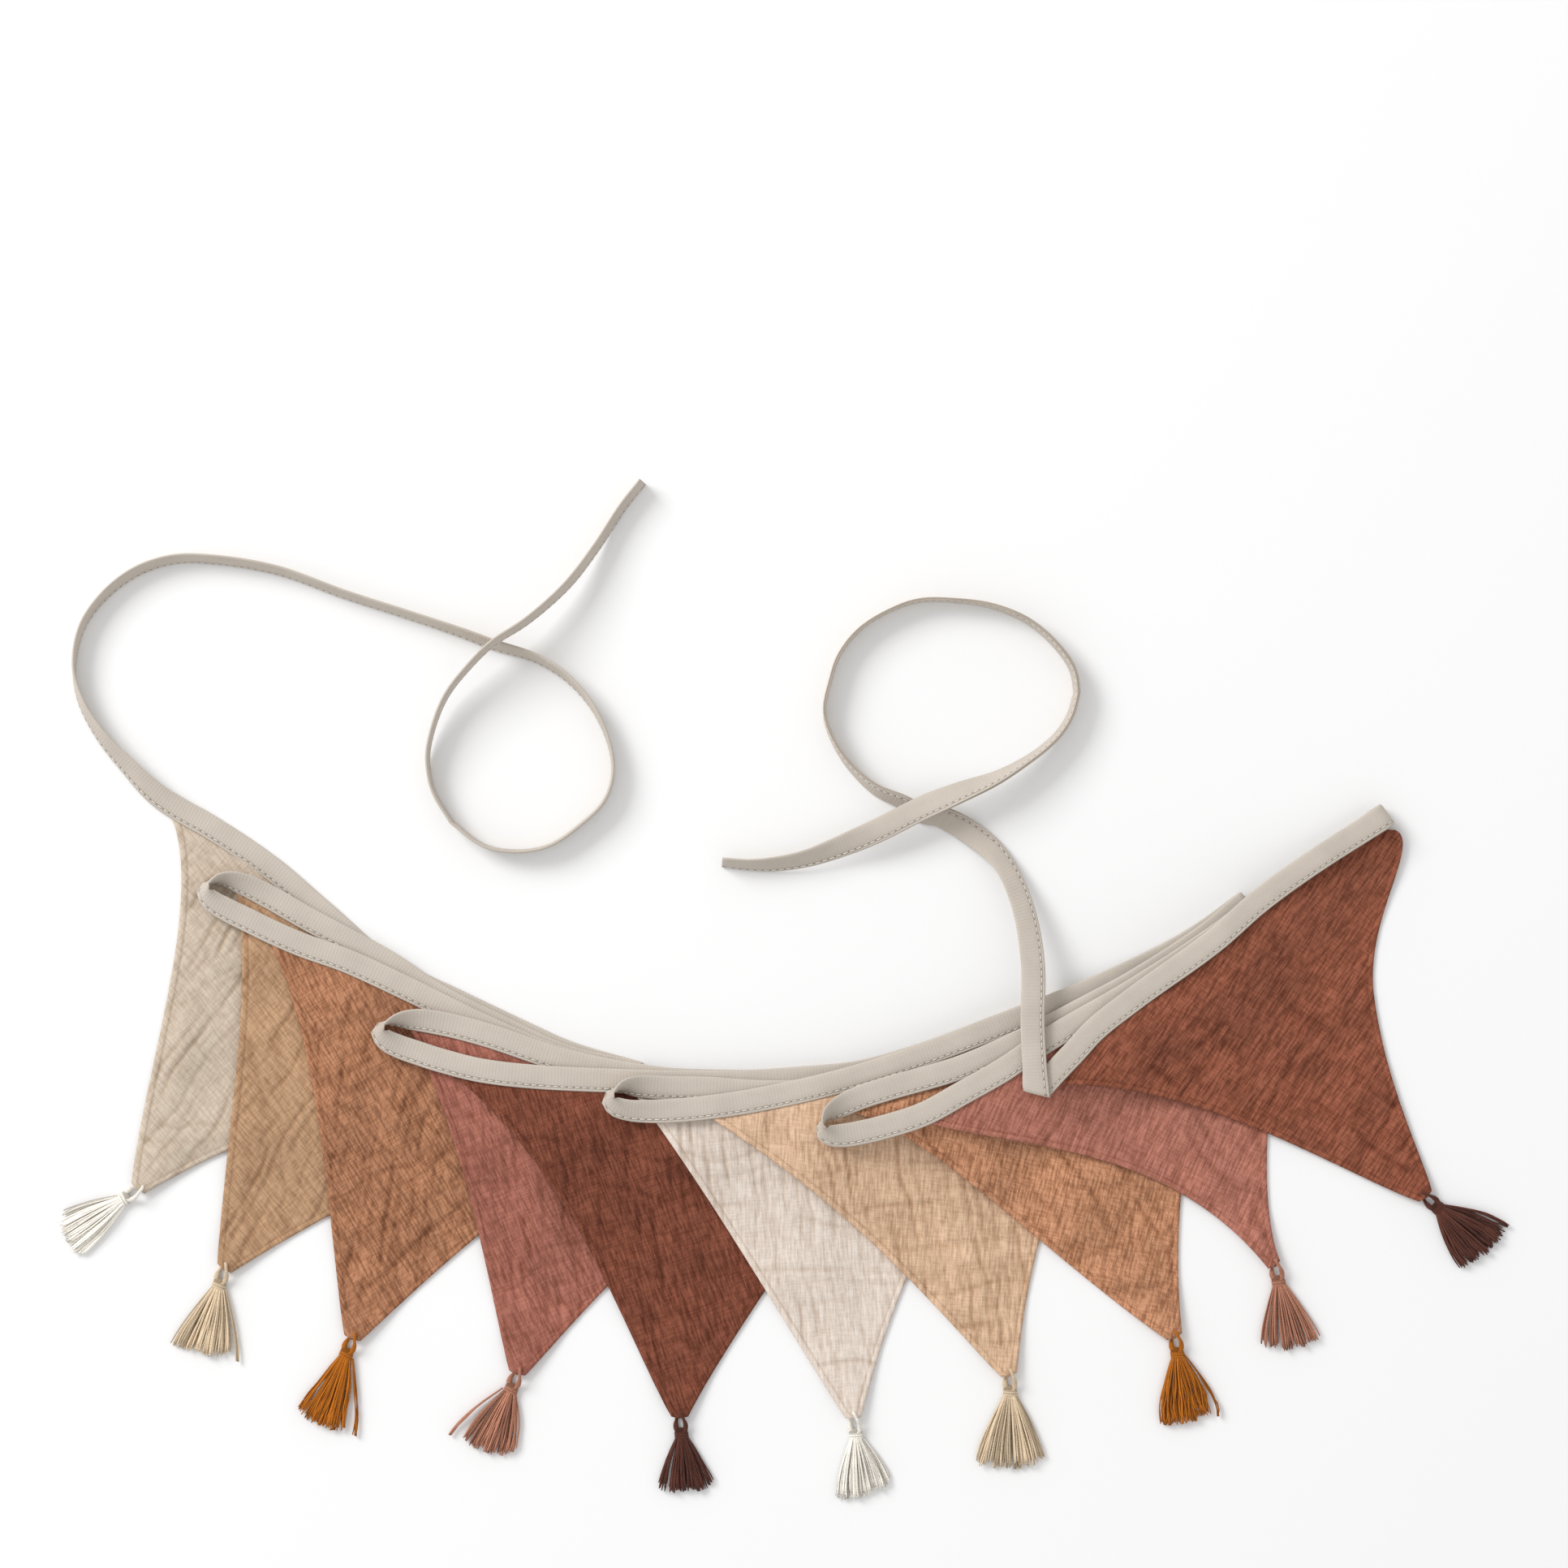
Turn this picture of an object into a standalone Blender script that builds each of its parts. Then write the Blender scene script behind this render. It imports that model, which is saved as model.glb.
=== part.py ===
"""Fabric bunting laid down in a zigzag: ten muslin flags on one folded tape, ten tassels, two ties.

Seen from above, +X is right and +Y is up. The surface it lies on is Z = 0. Each layer of tape and
flag is laid on what is already there: a height map keeps the top of the pile.
"""

import math
from collections import namedtuple

import bmesh
import bpy
import numpy as np

MM = 0.001
GAP = 0.4 * MM

# The tape is a folded strip. One long edge is stitched and holds the flags, the other is its fold.
TAPE_WIDTH = 11.0 * MM
TAPE_THICKNESS = 1.7 * MM
TAPE_STEP = 13.0 * MM
LOOP_STEP = 4.5 * MM
LOOP_REACH = 18.0 * MM
LOOP_SECTIONS = 5
JOINT_SECTIONS = 4
FOLD_TURN_ANGLES = (-45.0, 0.0, 45.0)

FLAG_THICKNESS = 1.0 * MM
FLAG_SEAM_GAP = 0.35 * MM
FLAG_COLUMNS = 14
TIP_HALF_WIDTH = 3.4 * MM
SAG_FULLNESS = 2.4
BULGE_REACH = 0.45
BULGE_PEAK = 0.15
CREASE_LEAD = 0.12

THREAD_RADIUS = 0.8 * MM
LOOP_HALF_WIDTH = 2.7 * MM
LOOP_LENGTH = 5.2 * MM
STITCH_INSET = 3.2 * MM
NECK_LENGTH = 3.6 * MM
NECK_WIDTH = 6.6 * MM
NECK_HEIGHT = 3.6 * MM
SKIRT_COLUMNS = 6
SKIRT_ROWS = 2
STRAND_SIZE = 1.6 * MM
STRAND_STATIONS = (0.22, 0.6, 1.0)
STRAND_STAGGER = 0.22
STRAND_TAPER = 0.82
STRAND_END_TAPER = 0.55
STRAND_SWAY = 0.5 * MM
STRAND_FALL_RATE = 1.6
SKIRT_ROUNDING = 0.10
REACH_UNEVENNESS = 0.05
NECK_WAIST = 0.72
NECK_TOP = 0.9
STRAND_ROOT_INSET = 0.12 * MM

# Height map of the pile.
CELL = 2.5 * MM
HALF_LENGTH = 350.0 * MM
HALF_WIDTH = 260.0 * MM
DRAPE_CELLS = 4
REST_REACH = 2
LIFT_ROUNDS = 4

# Where the middle of the packed box lies on the drawing that the tables below were measured on.
CENTRE = (-1.12 * MM, 0.77 * MM)

# Colour, roughness of each cloth and yarn.
COLOURS = {
    "tape": (0.66, 0.60, 0.53),
    "cream": (0.74, 0.66, 0.55),
    "tan": (0.66, 0.46, 0.29),
    "terracotta": (0.52, 0.25, 0.14),
    "rose": (0.42, 0.16, 0.12),
    "brown": (0.23, 0.085, 0.055),
    "offwhite": (0.84, 0.81, 0.73),
    "khaki": (0.56, 0.46, 0.33),
    "ochre": (0.36, 0.13, 0.012),
    "dusty": (0.34, 0.18, 0.13),
    "chocolate": (0.07, 0.022, 0.015),
}
CLOTH_ROUGHNESS = 0.9

# Routes of the middle of the tape, from above: x mm, y mm, roll in degrees. At roll 0 it lies flat
# with its fold on the right hand of its travel, at 90 it stands on its stitched edge, at 180 it lies
# flat with its fold on the left hand, at 270 it stands on its fold.
TIE_ONE_END = (
    (-64.1, 232.5, 76), (-72.7, 221.7, 76), (-85.3, 202.4, 76), (-98.3, 185.3, 76),
    (-117.3, 168.2, 78), (-132.5, 158.2, 80), (-142.9, 148.1, 82), (-153.7, 134.4, 84),
    (-160.0, 119.1, 86), (-162.3, 106.5, 87), (-160.0, 91.6, 88), (-151.5, 76.8, 88),
)
TIE_ONE_START = (
    (-151.5, 76.8, 88), (-136.6, 66.0, 88), (-121.7, 63.4, 88), (-106.9, 66.0, 89), (-93.9, 74.5, 89),
    (-81.2, 87.2, 89), (-77.5, 102.0, 88), (-83.5, 123.6, 83), (-96.1, 140.7, 77),
    (-111.0, 151.1, 73), (-132.5, 158.2, 68), (-145.2, 163.0, 70), (-170.8, 171.6, 73),
    (-200.6, 181.2, 73), (-230.7, 192.0, 72), (-258.2, 196.8, 72), (-277.5, 197.2, 72),
    (-294.6, 192.0, 72), (-309.5, 181.2, 76), (-320.3, 166.4, 83), (-324.0, 148.1, 92),
    (-321.2, 133.4, 105), (-312.3, 117.3, 117), (-299.1, 102.2, 136),
    (-286.4, 89.6, 158), (-276.0, 82.6, 172), (-263.0, 75.2, 180), (-234.0, 55.6, 180),
    (-211.0, 35.9, 180), (-180.9, 10.6, 180), (-150.4, -4.6, 180), (-120.6, -18.8, 180),
    (-98.3, -28.8, 180), (-66.7, -38.1, 180),
)
STRAND_TWO = (
    (-66.7, -38.1, 0), (-99.8, -30.3, 0), (-129.2, -16.9, 0), (-157.4, -2.8, 0),
    (-180.5, 12.5, 0), (-218.4, 33.2, 0), (-236.6, 43.6, 8), (-247.6, 48.9, 26),
    (-256.0, 50.9, 58), (-261.8, 49.4, 90),
)
STRAND_THREE = (
    (-261.8, 49.4, 90), (-264.2, 45.8, 128), (-261.2, 41.4, 152), (-254.0, 36.9, 168),
    (-243.6, 31.7, 177), (-236.0, 27.9, 180), (-221.0, 21.2, 180), (-199.2, 13.4, 180),
    (-169.0, -0.6, 180), (-138.5, -15.6, 180), (-100.6, -31.4, 180), (-57.4, -40.3, 180),
    (-31.4, -41.8, 180), (-1.7, -41.8, 180), (31.8, -40.0, 180),
)
STRAND_FOUR = (
    (31.8, -40.0, 0), (-1.7, -42.2, 0), (-31.4, -42.2, 0), (-57.4, -40.3, 0),
    (-98.3, -32.6, 0), (-135.9, -20.2, 0), (-154.8, -15.3, 4), (-166.5, -13.4, 22),
    (-175.6, -13.4, 56), (-181.5, -14.9, 90),
)
STRAND_FIVE = (
    (-181.5, -14.9, 90), (-184.2, -18.2, 128), (-181.6, -22.0, 151), (-175.0, -25.5, 167),
    (-166.0, -28.7, 176), (-157.8, -31.4, 180), (-135.9, -36.8, 180), (-79.0, -41.1, 180),
    (-18.4, -41.8, 180), (10.2, -40.0, 180), (35.5, -37.4, 180), (64.9, -29.2, 180),
    (93.1, -18.8, 180), (126.6, -5.8, 180),
)
STRAND_SIX = (
    (126.6, -5.8, 0), (93.1, -19.5, 0), (50.4, -35.5, 0), (28.1, -42.9, 0), (9.1, -45.9, 0),
    (-8.7, -46.3, 0), (-37.0, -44.6, 0), (-52.0, -44.4, 4), (-64.4, -43.6, 20),
    (-71.8, -43.7, 52), (-76.9, -45.6, 90),
)
STRAND_SEVEN = (
    (-76.9, -45.6, 90), (-79.0, -48.9, 126), (-76.6, -52.2, 144), (-70.6, -54.2, 152),
    (-61.5, -54.8, 163), (-50.5, -54.6, 174), (-38.5, -53.6, 180), (-13.2, -50.0, 180),
    (36.2, -38.5, 180), (93.1, -18.4, 180), (141.8, 0.6, 180), (179.7, 18.4, 180),
    (193.9, 27.0, 180), (210.2, 38.8, 180),
)
STRAND_EIGHT = (
    (210.2, 38.8, 0), (193.9, 25.5, 0), (158.2, 2.8, 0), (139.2, -7.2, 0), (107.2, -23.6, 0),
    (81.2, -34.8, 0), (48.1, -44.4, 0), (34.8, -48.6, 6), (26.4, -52.4, 24),
    (20.6, -56.2, 56), (18.0, -59.8, 90),
)
STRAND_NINE = (
    (18.0, -59.8, 90), (17.9, -63.4, 126), (21.4, -65.4, 150), (27.4, -65.6, 167),
    (34.4, -64.6, 177), (45.5, -62.0, 180), (64.0, -56.0, 180), (82.4, -46.0, 180),
    (100.7, -35.6, 180), (119.1, -23.2, 180), (160.8, 0.9, 180), (199.1, 25.8, 180),
    (221.4, 42.6, 180), (243.7, 57.4, 180), (272.4, 77.9, 180),
)
STRAND_TEN = (
    (272.4, 77.9, 0), (237.4, 55.6, 0), (216.9, 40.7, 0), (196.8, 23.2, 0), (159.7, -3.5, 0),
    (141.4, -18.0, 0), (132.9, -27.3, 0), (124.7, -35.9, 0), (116.2, -45.2, 0),
)
TIE_TWO_START = (
    (115.1, -45.2, 180), (113.6, -16.5, 180), (113.6, 14.7, 170), (108.7, 40.7, 155),
    (99.8, 59.3, 150), (86.8, 71.2, 180), (71.6, 79.4, 210), (64.1, 80.5, 218),
    (53.7, 86.4, 236), (42.9, 91.3, 246), (32.2, 100.6, 257), (25.1, 110.2, 263),
    (19.9, 122.1, 267), (19.1, 129.2, 270), (21.7, 141.1, 272), (25.8, 153.0, 273),
    (34.8, 164.5, 273), (48.9, 173.4, 273), (61.9, 177.9, 274), (79.7, 177.9, 275),
    (96.5, 175.3, 277), (112.8, 168.2, 279), (127.0, 155.2, 280), (132.9, 145.5, 280),
    (134.4, 136.2, 280),
)
TIE_TWO_END = (
    (134.4, 136.2, 280), (131.8, 126.6, 281), (127.0, 118.4, 282), (119.9, 111.3, 284),
    (110.6, 104.6, 288), (97.6, 97.2, 302), (79.7, 90.1, 330),
    (64.1, 83.5, 355), (44.1, 73.4, 362), (27.7, 66.4, 385), (11.0, 60.4, 405),
    (-3.2, 57.8, 415), (-15.1, 57.4, 425), (-27.7, 58.6, 430),
)
# The flat diagonal fold at the foot of the second tie: its crease, from stitched edge to fold.
DIAGONAL_CREASE = (-12.2, 3.0)

# Flag: cloth, x of its first and second corner on the tape, its tip's x and y, how far its left and
# right side curve inwards and where along the side they do so most, and how far its right corner
# bulges past the tape. The lengths are in mm, the places along a side are shares of it.
Flag = namedtuple("Flag", "cloth first last tip_x tip_y left_in right_in left_at right_at bulge")
FLAGS = (
    Flag("cream", -279.0, -110.0, -295.4, -91.6, 10.0, 7.0, 0.28, 0.60, 0.0),
    Flag("tan", -250.0, -75.5, -255.9, -128.1, 5.5, 4.0, 0.30, 0.60, 0.0),
    Flag("terracotta", -232.0, -43.0, -197.2, -160.0, 7.0, 6.0, 0.35, 0.50, 0.0),
    Flag("rose", -171.0, 24.7, -121.7, -176.0, 5.0, 6.0, 0.40, 0.50, 0.0),
    Flag("brown", -149.3, 61.5, -47.0, -196.1, 11.0, 2.5, 0.38, 0.70, 0.0),
    Flag("cream", -67.5, 113.6, 32.5, -196.5, 2.0, 7.0, 0.30, 0.60, 0.0),
    Flag("tan", -33.0, 156.3, 103.9, -176.8, 6.5, 7.0, 0.45, 0.60, 0.0),
    Flag("terracotta", 24.0, 199.1, 179.7, -159.3, 9.0, 7.5, 0.22, 0.60, 0.0),
    Flag("rose", 65.6, 229.9, 225.5, -126.6, 17.0, 8.0, 0.60, 0.70, 0.0),
    Flag("brown", 121.0, 271.0, 294.6, -95.0, 10.0, 14.0, 0.38, 0.46, 11.0),
)

# Tassel: yarn, heading in degrees, reach of its ends from the flag's tip and half its spread in mm.
Tassel = namedtuple("Tassel", "yarn heading reach spread")
TASSELS = (
    Tassel("offwhite", 214.0, 38.5, 12.0),
    Tassel("khaki", 254.0, 38.6, 15.0),
    Tassel("ochre", 249.0, 40.6, 13.0),
    Tassel("dusty", 249.0, 36.9, 13.5),
    Tassel("chocolate", 275.0, 32.5, 14.3),
    Tassel("offwhite", 278.0, 34.5, 14.0),
    Tassel("khaki", 271.0, 40.9, 17.5),
    Tassel("ochre", 277.0, 37.9, 13.5),
    Tassel("dusty", 281.0, 37.1, 14.6),
    Tassel("chocolate", 318.0, 36.6, 15.3),
)

# Soft folds of the flags: flag number, how far along the tape they start and how far along the last
# strip before the tip they end, their height and half width in mm.
Crease = namedtuple("Crease", "flag start end height half_width")
CREASES = (
    Crease(1, 0.22, 0.10, 2.2, 11.0),
    Crease(1, 0.62, 0.75, 1.8, 12.0),
    Crease(4, 0.40, 0.35, 1.8, 12.0),
    Crease(6, 0.30, 0.45, 1.6, 12.0),
    Crease(7, 0.55, 0.40, 1.6, 14.0),
    Crease(8, 0.35, 0.55, 1.8, 13.0),
    Crease(9, 0.45, 0.30, 2.4, 13.0),
    Crease(10, 0.30, 0.20, 2.4, 15.0),
    Crease(10, 0.72, 0.85, 2.8, 14.0),
)


class Pile:
    """The top of what has been laid down so far, on a grid of cells."""

    def __init__(self):
        columns = int(2 * HALF_LENGTH / CELL) + 1
        rows = int(2 * HALF_WIDTH / CELL) + 1
        self.top = np.zeros((columns, rows))

    def cells(self, points):
        i = np.clip(np.rint((points[..., 0] + HALF_LENGTH) / CELL), 0, self.top.shape[0] - 1)
        j = np.clip(np.rint((points[..., 1] + HALF_WIDTH) / CELL), 0, self.top.shape[1] - 1)
        return i.astype(int), j.astype(int)

    def add(self, points):
        np.maximum.at(self.top, self.cells(points), points[..., 2])

    def raised(self, cells):
        """Each cell takes the highest value within this many cells."""
        grown = self.top
        for axis in (0, 1):
            grown = np.max([np.roll(grown, shift, axis) for shift in range(-cells, cells + 1)], axis=0)
        return grown

    def draped(self):
        """A smooth surface over the pile that touches it nowhere from below."""
        smooth = self.raised(DRAPE_CELLS)
        half = DRAPE_CELLS // 2
        for axis in (0, 1, 0, 1):
            smooth = np.mean([np.roll(smooth, shift, axis) for shift in range(-half, half + 1)], axis=0)
        return smooth

    def sample(self, surface, points):
        return surface[self.cells(points)]


def smooth_route(rows):
    """A dense smooth curve through the route's points: x, y, roll in metres and radians."""
    points = np.array(rows, dtype=float) * (MM, MM, math.radians(1.0))
    points[:, :2] -= CENTRE
    chord = np.linalg.norm(np.diff(points[:, :2], axis=0), axis=1)
    slope = np.diff(points, axis=0) / chord[:, None]
    tangent = np.vstack((slope[:1], slope[1:] * 0.5 + slope[:-1] * 0.5, slope[-1:]))
    dense = []
    for index, length in enumerate(chord):
        for t in np.arange(0.0, 1.0, MM / length):
            dense.append(
                (2 * t**3 - 3 * t**2 + 1) * points[index]
                + (t**3 - 2 * t**2 + t) * length * tangent[index]
                + (3 * t**2 - 2 * t**3) * points[index + 1]
                + (t**3 - t**2) * length * tangent[index + 1]
            )
    dense.append(points[-1])
    return np.array(dense)


def spread(start, end, step):
    """Distances from start to end, about a step apart, without the end."""
    count = max(1, round((end - start) / step))
    return [start + (end - start) * index / count for index in range(count)]


def last_crossing(values, level):
    """The last place along a route where it reaches a level."""
    above = values > level
    return int(np.flatnonzero(above[1:] != above[:-1])[-1])


def strand_sections(rows, corners=None):
    """Sections of one strand: centres, width vectors, thickness vectors, and the flag's stations."""
    dense = smooth_route(rows)
    run = np.concatenate(([0.0], np.cumsum(np.linalg.norm(np.diff(dense[:, :2], axis=0), axis=1))))
    total = run[-1]
    loop_first = abs(rows[0][2] - 90) < 1
    loop_last = abs(rows[-1][2] - 90) < 1
    stops = [0.0]
    if loop_first:
        stops = spread(0.0, LOOP_REACH, LOOP_STEP) + [LOOP_REACH]
    last_stop = total - LOOP_REACH if loop_last else total
    on_flag = (0, 0)
    if corners:
        found = sorted(run[last_crossing(dense[:, 0], x * MM - CENTRE[0])] for x in corners)
        lead = spread(stops[-1], found[0], TAPE_STEP)[1:] if found[0] - stops[-1] > MM else []
        if found[0] - stops[-1] < LOOP_STEP:
            stops.pop()
        stops += lead
        on_flag = (len(stops), len(stops) + FLAG_COLUMNS)
        stops += [found[0] + (found[1] - found[0]) * i / FLAG_COLUMNS for i in range(FLAG_COLUMNS + 1)]
    tail = max(last_stop, stops[-1])
    stops += [s for s in spread(stops[-1], tail, TAPE_STEP)[1:] if tail - stops[-1] > LOOP_STEP]
    if loop_last:
        stops += [s for s in spread(tail, total, LOOP_STEP) if s - stops[-1] > 0.5 * LOOP_STEP]
    stops.append(total)
    at = [np.interp(stops, run, dense[:, column]) for column in range(3)]
    ahead = [np.interp(np.add(stops, MM), run, dense[:, column]) for column in range(2)]
    behind = [np.interp(np.subtract(stops, MM), run, dense[:, column]) for column in range(2)]
    travel = np.array([ahead[0] - behind[0], ahead[1] - behind[1]]).T
    travel /= np.linalg.norm(travel, axis=1)[:, None]
    right = np.column_stack((travel[:, 1], -travel[:, 0], np.zeros(len(travel))))
    up = np.array((0.0, 0.0, 1.0))
    cosine = np.cos(at[2])[:, None]
    sine = np.sin(at[2])[:, None]
    centres = np.column_stack((at[0], at[1], np.zeros(len(stops))))
    widths = (cosine * right + sine * up) * TAPE_WIDTH
    thicks = (cosine * up - sine * right) * TAPE_THICKNESS
    return centres, widths, thicks, on_flag


def section_corners(centres, widths, thicks):
    """Four corners of each section: along the stitched edge, then along the fold."""
    return np.stack(
        (
            centres - widths / 2 - thicks / 2,
            centres - widths / 2 + thicks / 2,
            centres + widths / 2 + thicks / 2,
            centres + widths / 2 - thicks / 2,
        ),
        axis=1,
    )


def patch_points(corners, along=8, across=6):
    """Points all over the four sides of a run of sections."""
    t = np.linspace(0, 1, along)[:, None, None]
    s = np.linspace(0, 1, across)[None, :, None]
    found = []
    for side in range(4):
        near, far = corners[:, side], corners[:, (side + 1) % 4]
        for a, b, c, d in zip(near[:-1], far[:-1], near[1:], far[1:]):
            found.append(((1 - t) * ((1 - s) * a + s * b) + t * ((1 - s) * c + s * d)).reshape(-1, 3))
    return np.concatenate(found)


def rest_strand(pile, centres, widths, thicks):
    """Lowers a strand on the pile: it rides up over what is there and comes down again smoothly."""
    corners = section_corners(centres, widths, thicks)
    lowest = corners[:, :, 2].min(axis=1)
    highest_under = pile.raised(1)
    middles = (corners[1:] + corners[:-1]) / 2
    s = np.linspace(0, 1, 6)[None, :, None]
    across = corners[:, 0][:, None] * (1 - s) + corners[:, 2][:, None] * s
    between = middles[:, 0][:, None] * (1 - s) + middles[:, 2][:, None] * s
    under = pile.sample(highest_under, across).max(axis=1)
    beside = pile.sample(highest_under, between).max(axis=1)
    under[:-1] = np.maximum(under[:-1], beside)
    under[1:] = np.maximum(under[1:], beside)
    padded = np.pad(under, 2 * REST_REACH, mode="edge")
    wide = [padded[i : i + len(padded) - 2 * REST_REACH] for i in range(2 * REST_REACH + 1)]
    grown = np.max(wide, axis=0)
    soft = np.mean([grown[i : i + len(under)] for i in range(2 * REST_REACH + 1)], axis=0)
    heights = np.maximum(soft, under) + np.where(under > 0, GAP, 0.0)
    placed = centres.copy()
    placed[:, 2] = heights - lowest
    return placed


def fold_turn(low, high, outward, width, sign):
    """The few sections that take a strand up and back over itself at a flat fold."""
    radius = (high[2] - low[2]) / 2
    found = []
    for degrees in FOLD_TURN_ANGLES:
        angle = math.radians(degrees)
        across = np.array((*(outward * math.cos(angle)), math.sin(angle)))
        middle = np.array((*((low[:2] + high[:2]) / 2), (low[2] + high[2]) / 2))
        found.append((middle + across * radius, width, across * sign * TAPE_THICKNESS))
    return found


def swell(v, peak):
    """A soft swell from 0 over 1, which it reaches at the given share, back to 0."""
    rise = SAG_FULLNESS * peak
    fall = SAG_FULLNESS * (1 - peak)
    return v**rise * (1 - v) ** fall / (peak**rise * (1 - peak) ** fall)


def flag_outline_side(corner, tip, inward, depth, peak, count):
    """Points down one side of a flag, curved inwards most at the given share of its length."""
    v = np.linspace(0, 1, count)[:, None]
    return (1 - v) * corner + v * tip + swell(v, peak) * depth * MM * inward


def flag_rows(flag, seam):
    """Plan of a flag: rows of points from the tape to the blunt tip, one point fewer in each."""
    tip = np.array((flag.tip_x, flag.tip_y)) * MM - CENTRE
    first, last = seam[0], seam[-1]
    axis = (first + last) / 2 - tip
    normal = np.array((axis[1], -axis[0])) / np.linalg.norm(axis)
    tips = (tip - normal * TIP_HALF_WIDTH, tip + normal * TIP_HALF_WIDTH)
    count = FLAG_COLUMNS
    left_run = tips[0] - first
    right_run = tips[1] - last
    left_inward = np.array((-left_run[1], left_run[0])) / np.linalg.norm(left_run)
    right_inward = np.array((right_run[1], -right_run[0])) / np.linalg.norm(right_run)
    left = flag_outline_side(first, tips[0], left_inward, flag.left_in, flag.left_at, count)
    right = flag_outline_side(last, tips[1], right_inward, flag.right_in, flag.right_at, count)
    v = np.linspace(0, 1, count)[:, None]
    right -= swell(np.minimum(1.0, v / BULGE_REACH), BULGE_PEAK) * flag.bulge * MM * right_inward
    bow = seam - (first + np.linspace(0, 1, count + 1)[:, None] * (last - first))
    rows = []
    for row in range(count):
        u = np.linspace(0, 1, count + 1 - row)
        fade = (1 - row / (count - 1)) ** 2
        bend = np.column_stack([np.interp(u, np.linspace(0, 1, count + 1), bow[:, k]) for k in (0, 1)])
        rows.append(left[row] + u[:, None] * (right[row] - left[row]) + bend * fade)
    return rows


def crease_heights(number, rows):
    """Height of a flag's own soft folds at each point."""
    heights = [np.zeros(len(row)) for row in rows]
    for crease in CREASES:
        if crease.flag != number:
            continue
        for index, row in enumerate(rows):
            v = index / (len(rows) - 1)
            width = np.linalg.norm(row[-1] - row[0])
            middle = (crease.start * (1 - v) + crease.end * v) * width
            away = (np.linspace(0, width, len(row)) - middle) / (crease.half_width * MM)
            fade = math.sin(math.pi * min(1.0, CREASE_LEAD + v)) ** 0.5
            heights[index] += crease.height * MM * fade * np.clip(1 - away**2, 0, None) ** 2
    return heights


def flag_triangles(rows):
    """Corner numbers of the triangles between the rows."""
    starts = np.cumsum([0] + [len(row) for row in rows])
    found = []
    for index in range(len(rows) - 1):
        upper, lower = starts[index], starts[index + 1]
        for column in range(len(rows[index]) - 1):
            found.append((upper + column, lower + min(column, len(rows[index + 1]) - 1), upper + column + 1))
            if column + 1 < len(rows[index + 1]):
                found.append((upper + column + 1, lower + column, lower + column + 1))
    return np.array(found)


def triangle_points(points, triangles, count=9):
    """Points all over the given triangles, and the weights that made them."""
    weights = [
        (1 - (i + j) / count, i / count, j / count) for i in range(count + 1) for j in range(count + 1 - i)
    ]
    weights = np.array(weights)
    return np.einsum("wc,tcd->twd", weights, points[triangles])


def rest_flag(pile, number, rows):
    """Lays a flag on the pile, folds included, and lifts any triangle that would touch it."""
    plan = np.concatenate(rows)
    points = np.column_stack((plan, np.zeros(len(plan))))
    lift = np.concatenate(crease_heights(number, rows))
    surface = pile.draped()
    under = pile.sample(surface, points)
    points[:, 2] = under + np.where(under > 0, GAP, 0.0) + lift
    triangles = flag_triangles(rows)
    near = pile.raised(1)
    for _ in range(LIFT_ROUNDS):
        spots = triangle_points(points, triangles)
        below = pile.sample(near, spots)
        short = np.where(below > 0, below + GAP - spots[..., 2], 0.0).max(axis=1)
        for corner in range(3):
            lifted = points[triangles[:, corner], 2] + np.clip(short, 0, None)
            np.maximum.at(points[:, 2], triangles[:, corner], lifted)
    return points, triangles


def add_object(name, colour, mesh_builder):
    """A closed mesh in an object of its own, with its cloth's or yarn's material."""
    mesh = bpy.data.meshes.new(name)
    bm = bmesh.new()
    mesh_builder(bm)
    bmesh.ops.recalc_face_normals(bm, faces=bm.faces)
    bmesh.ops.triangulate(bm, faces=bm.faces)
    bm.to_mesh(mesh)
    bm.free()
    obj = bpy.data.objects.new(name, mesh)
    bpy.context.scene.collection.objects.link(obj)
    obj.data.materials.append(cloth_material(colour))
    return obj


def cloth_material(colour):
    name = f"{colour}_cloth"
    found = bpy.data.materials.get(name)
    if found:
        return found
    material = bpy.data.materials.new(name)
    material.use_nodes = True
    shader = material.node_tree.nodes["Principled BSDF"]
    shader.inputs["Base Color"].default_value = (*COLOURS[colour], 1.0)
    shader.inputs["Roughness"].default_value = CLOTH_ROUGHNESS
    shader.inputs["Metallic"].default_value = 0.0
    return material


def extrude_through(bm, face, sections):
    """Extrudes a face through the given sections, one after the other, and returns its last face."""
    for section in sections:
        face = bmesh.ops.extrude_discrete_faces(bm, faces=[face])["faces"][0]
        for vert, place in zip(face.verts, section):
            vert.co = place
    return face


def close_holes(bm):
    open_edges = [edge for edge in bm.edges if edge.is_boundary]
    bmesh.ops.holes_fill(bm, edges=open_edges)


def build_tape(sections):
    def fill(bm):
        face = bm.faces.new([bm.verts.new(place) for place in sections[0]])
        extrude_through(bm, face, sections[1:])
        close_holes(bm)

    return add_object("binding_tape", "tape", fill)


def build_flag(number, flag, points, triangles):
    def fill(bm):
        verts = [bm.verts.new(point) for point in points]
        for corners in triangles:
            bm.faces.new([verts[corner] for corner in corners])
        made = bmesh.ops.extrude_face_region(bm, geom=bm.faces[:])["geom"]
        raised = [item for item in made if isinstance(item, bmesh.types.BMVert)]
        bmesh.ops.translate(bm, verts=raised, vec=(0, 0, FLAG_THICKNESS))

    return add_object(f"flag_{number:02d}_{flag.cloth}", flag.cloth, fill)


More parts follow.
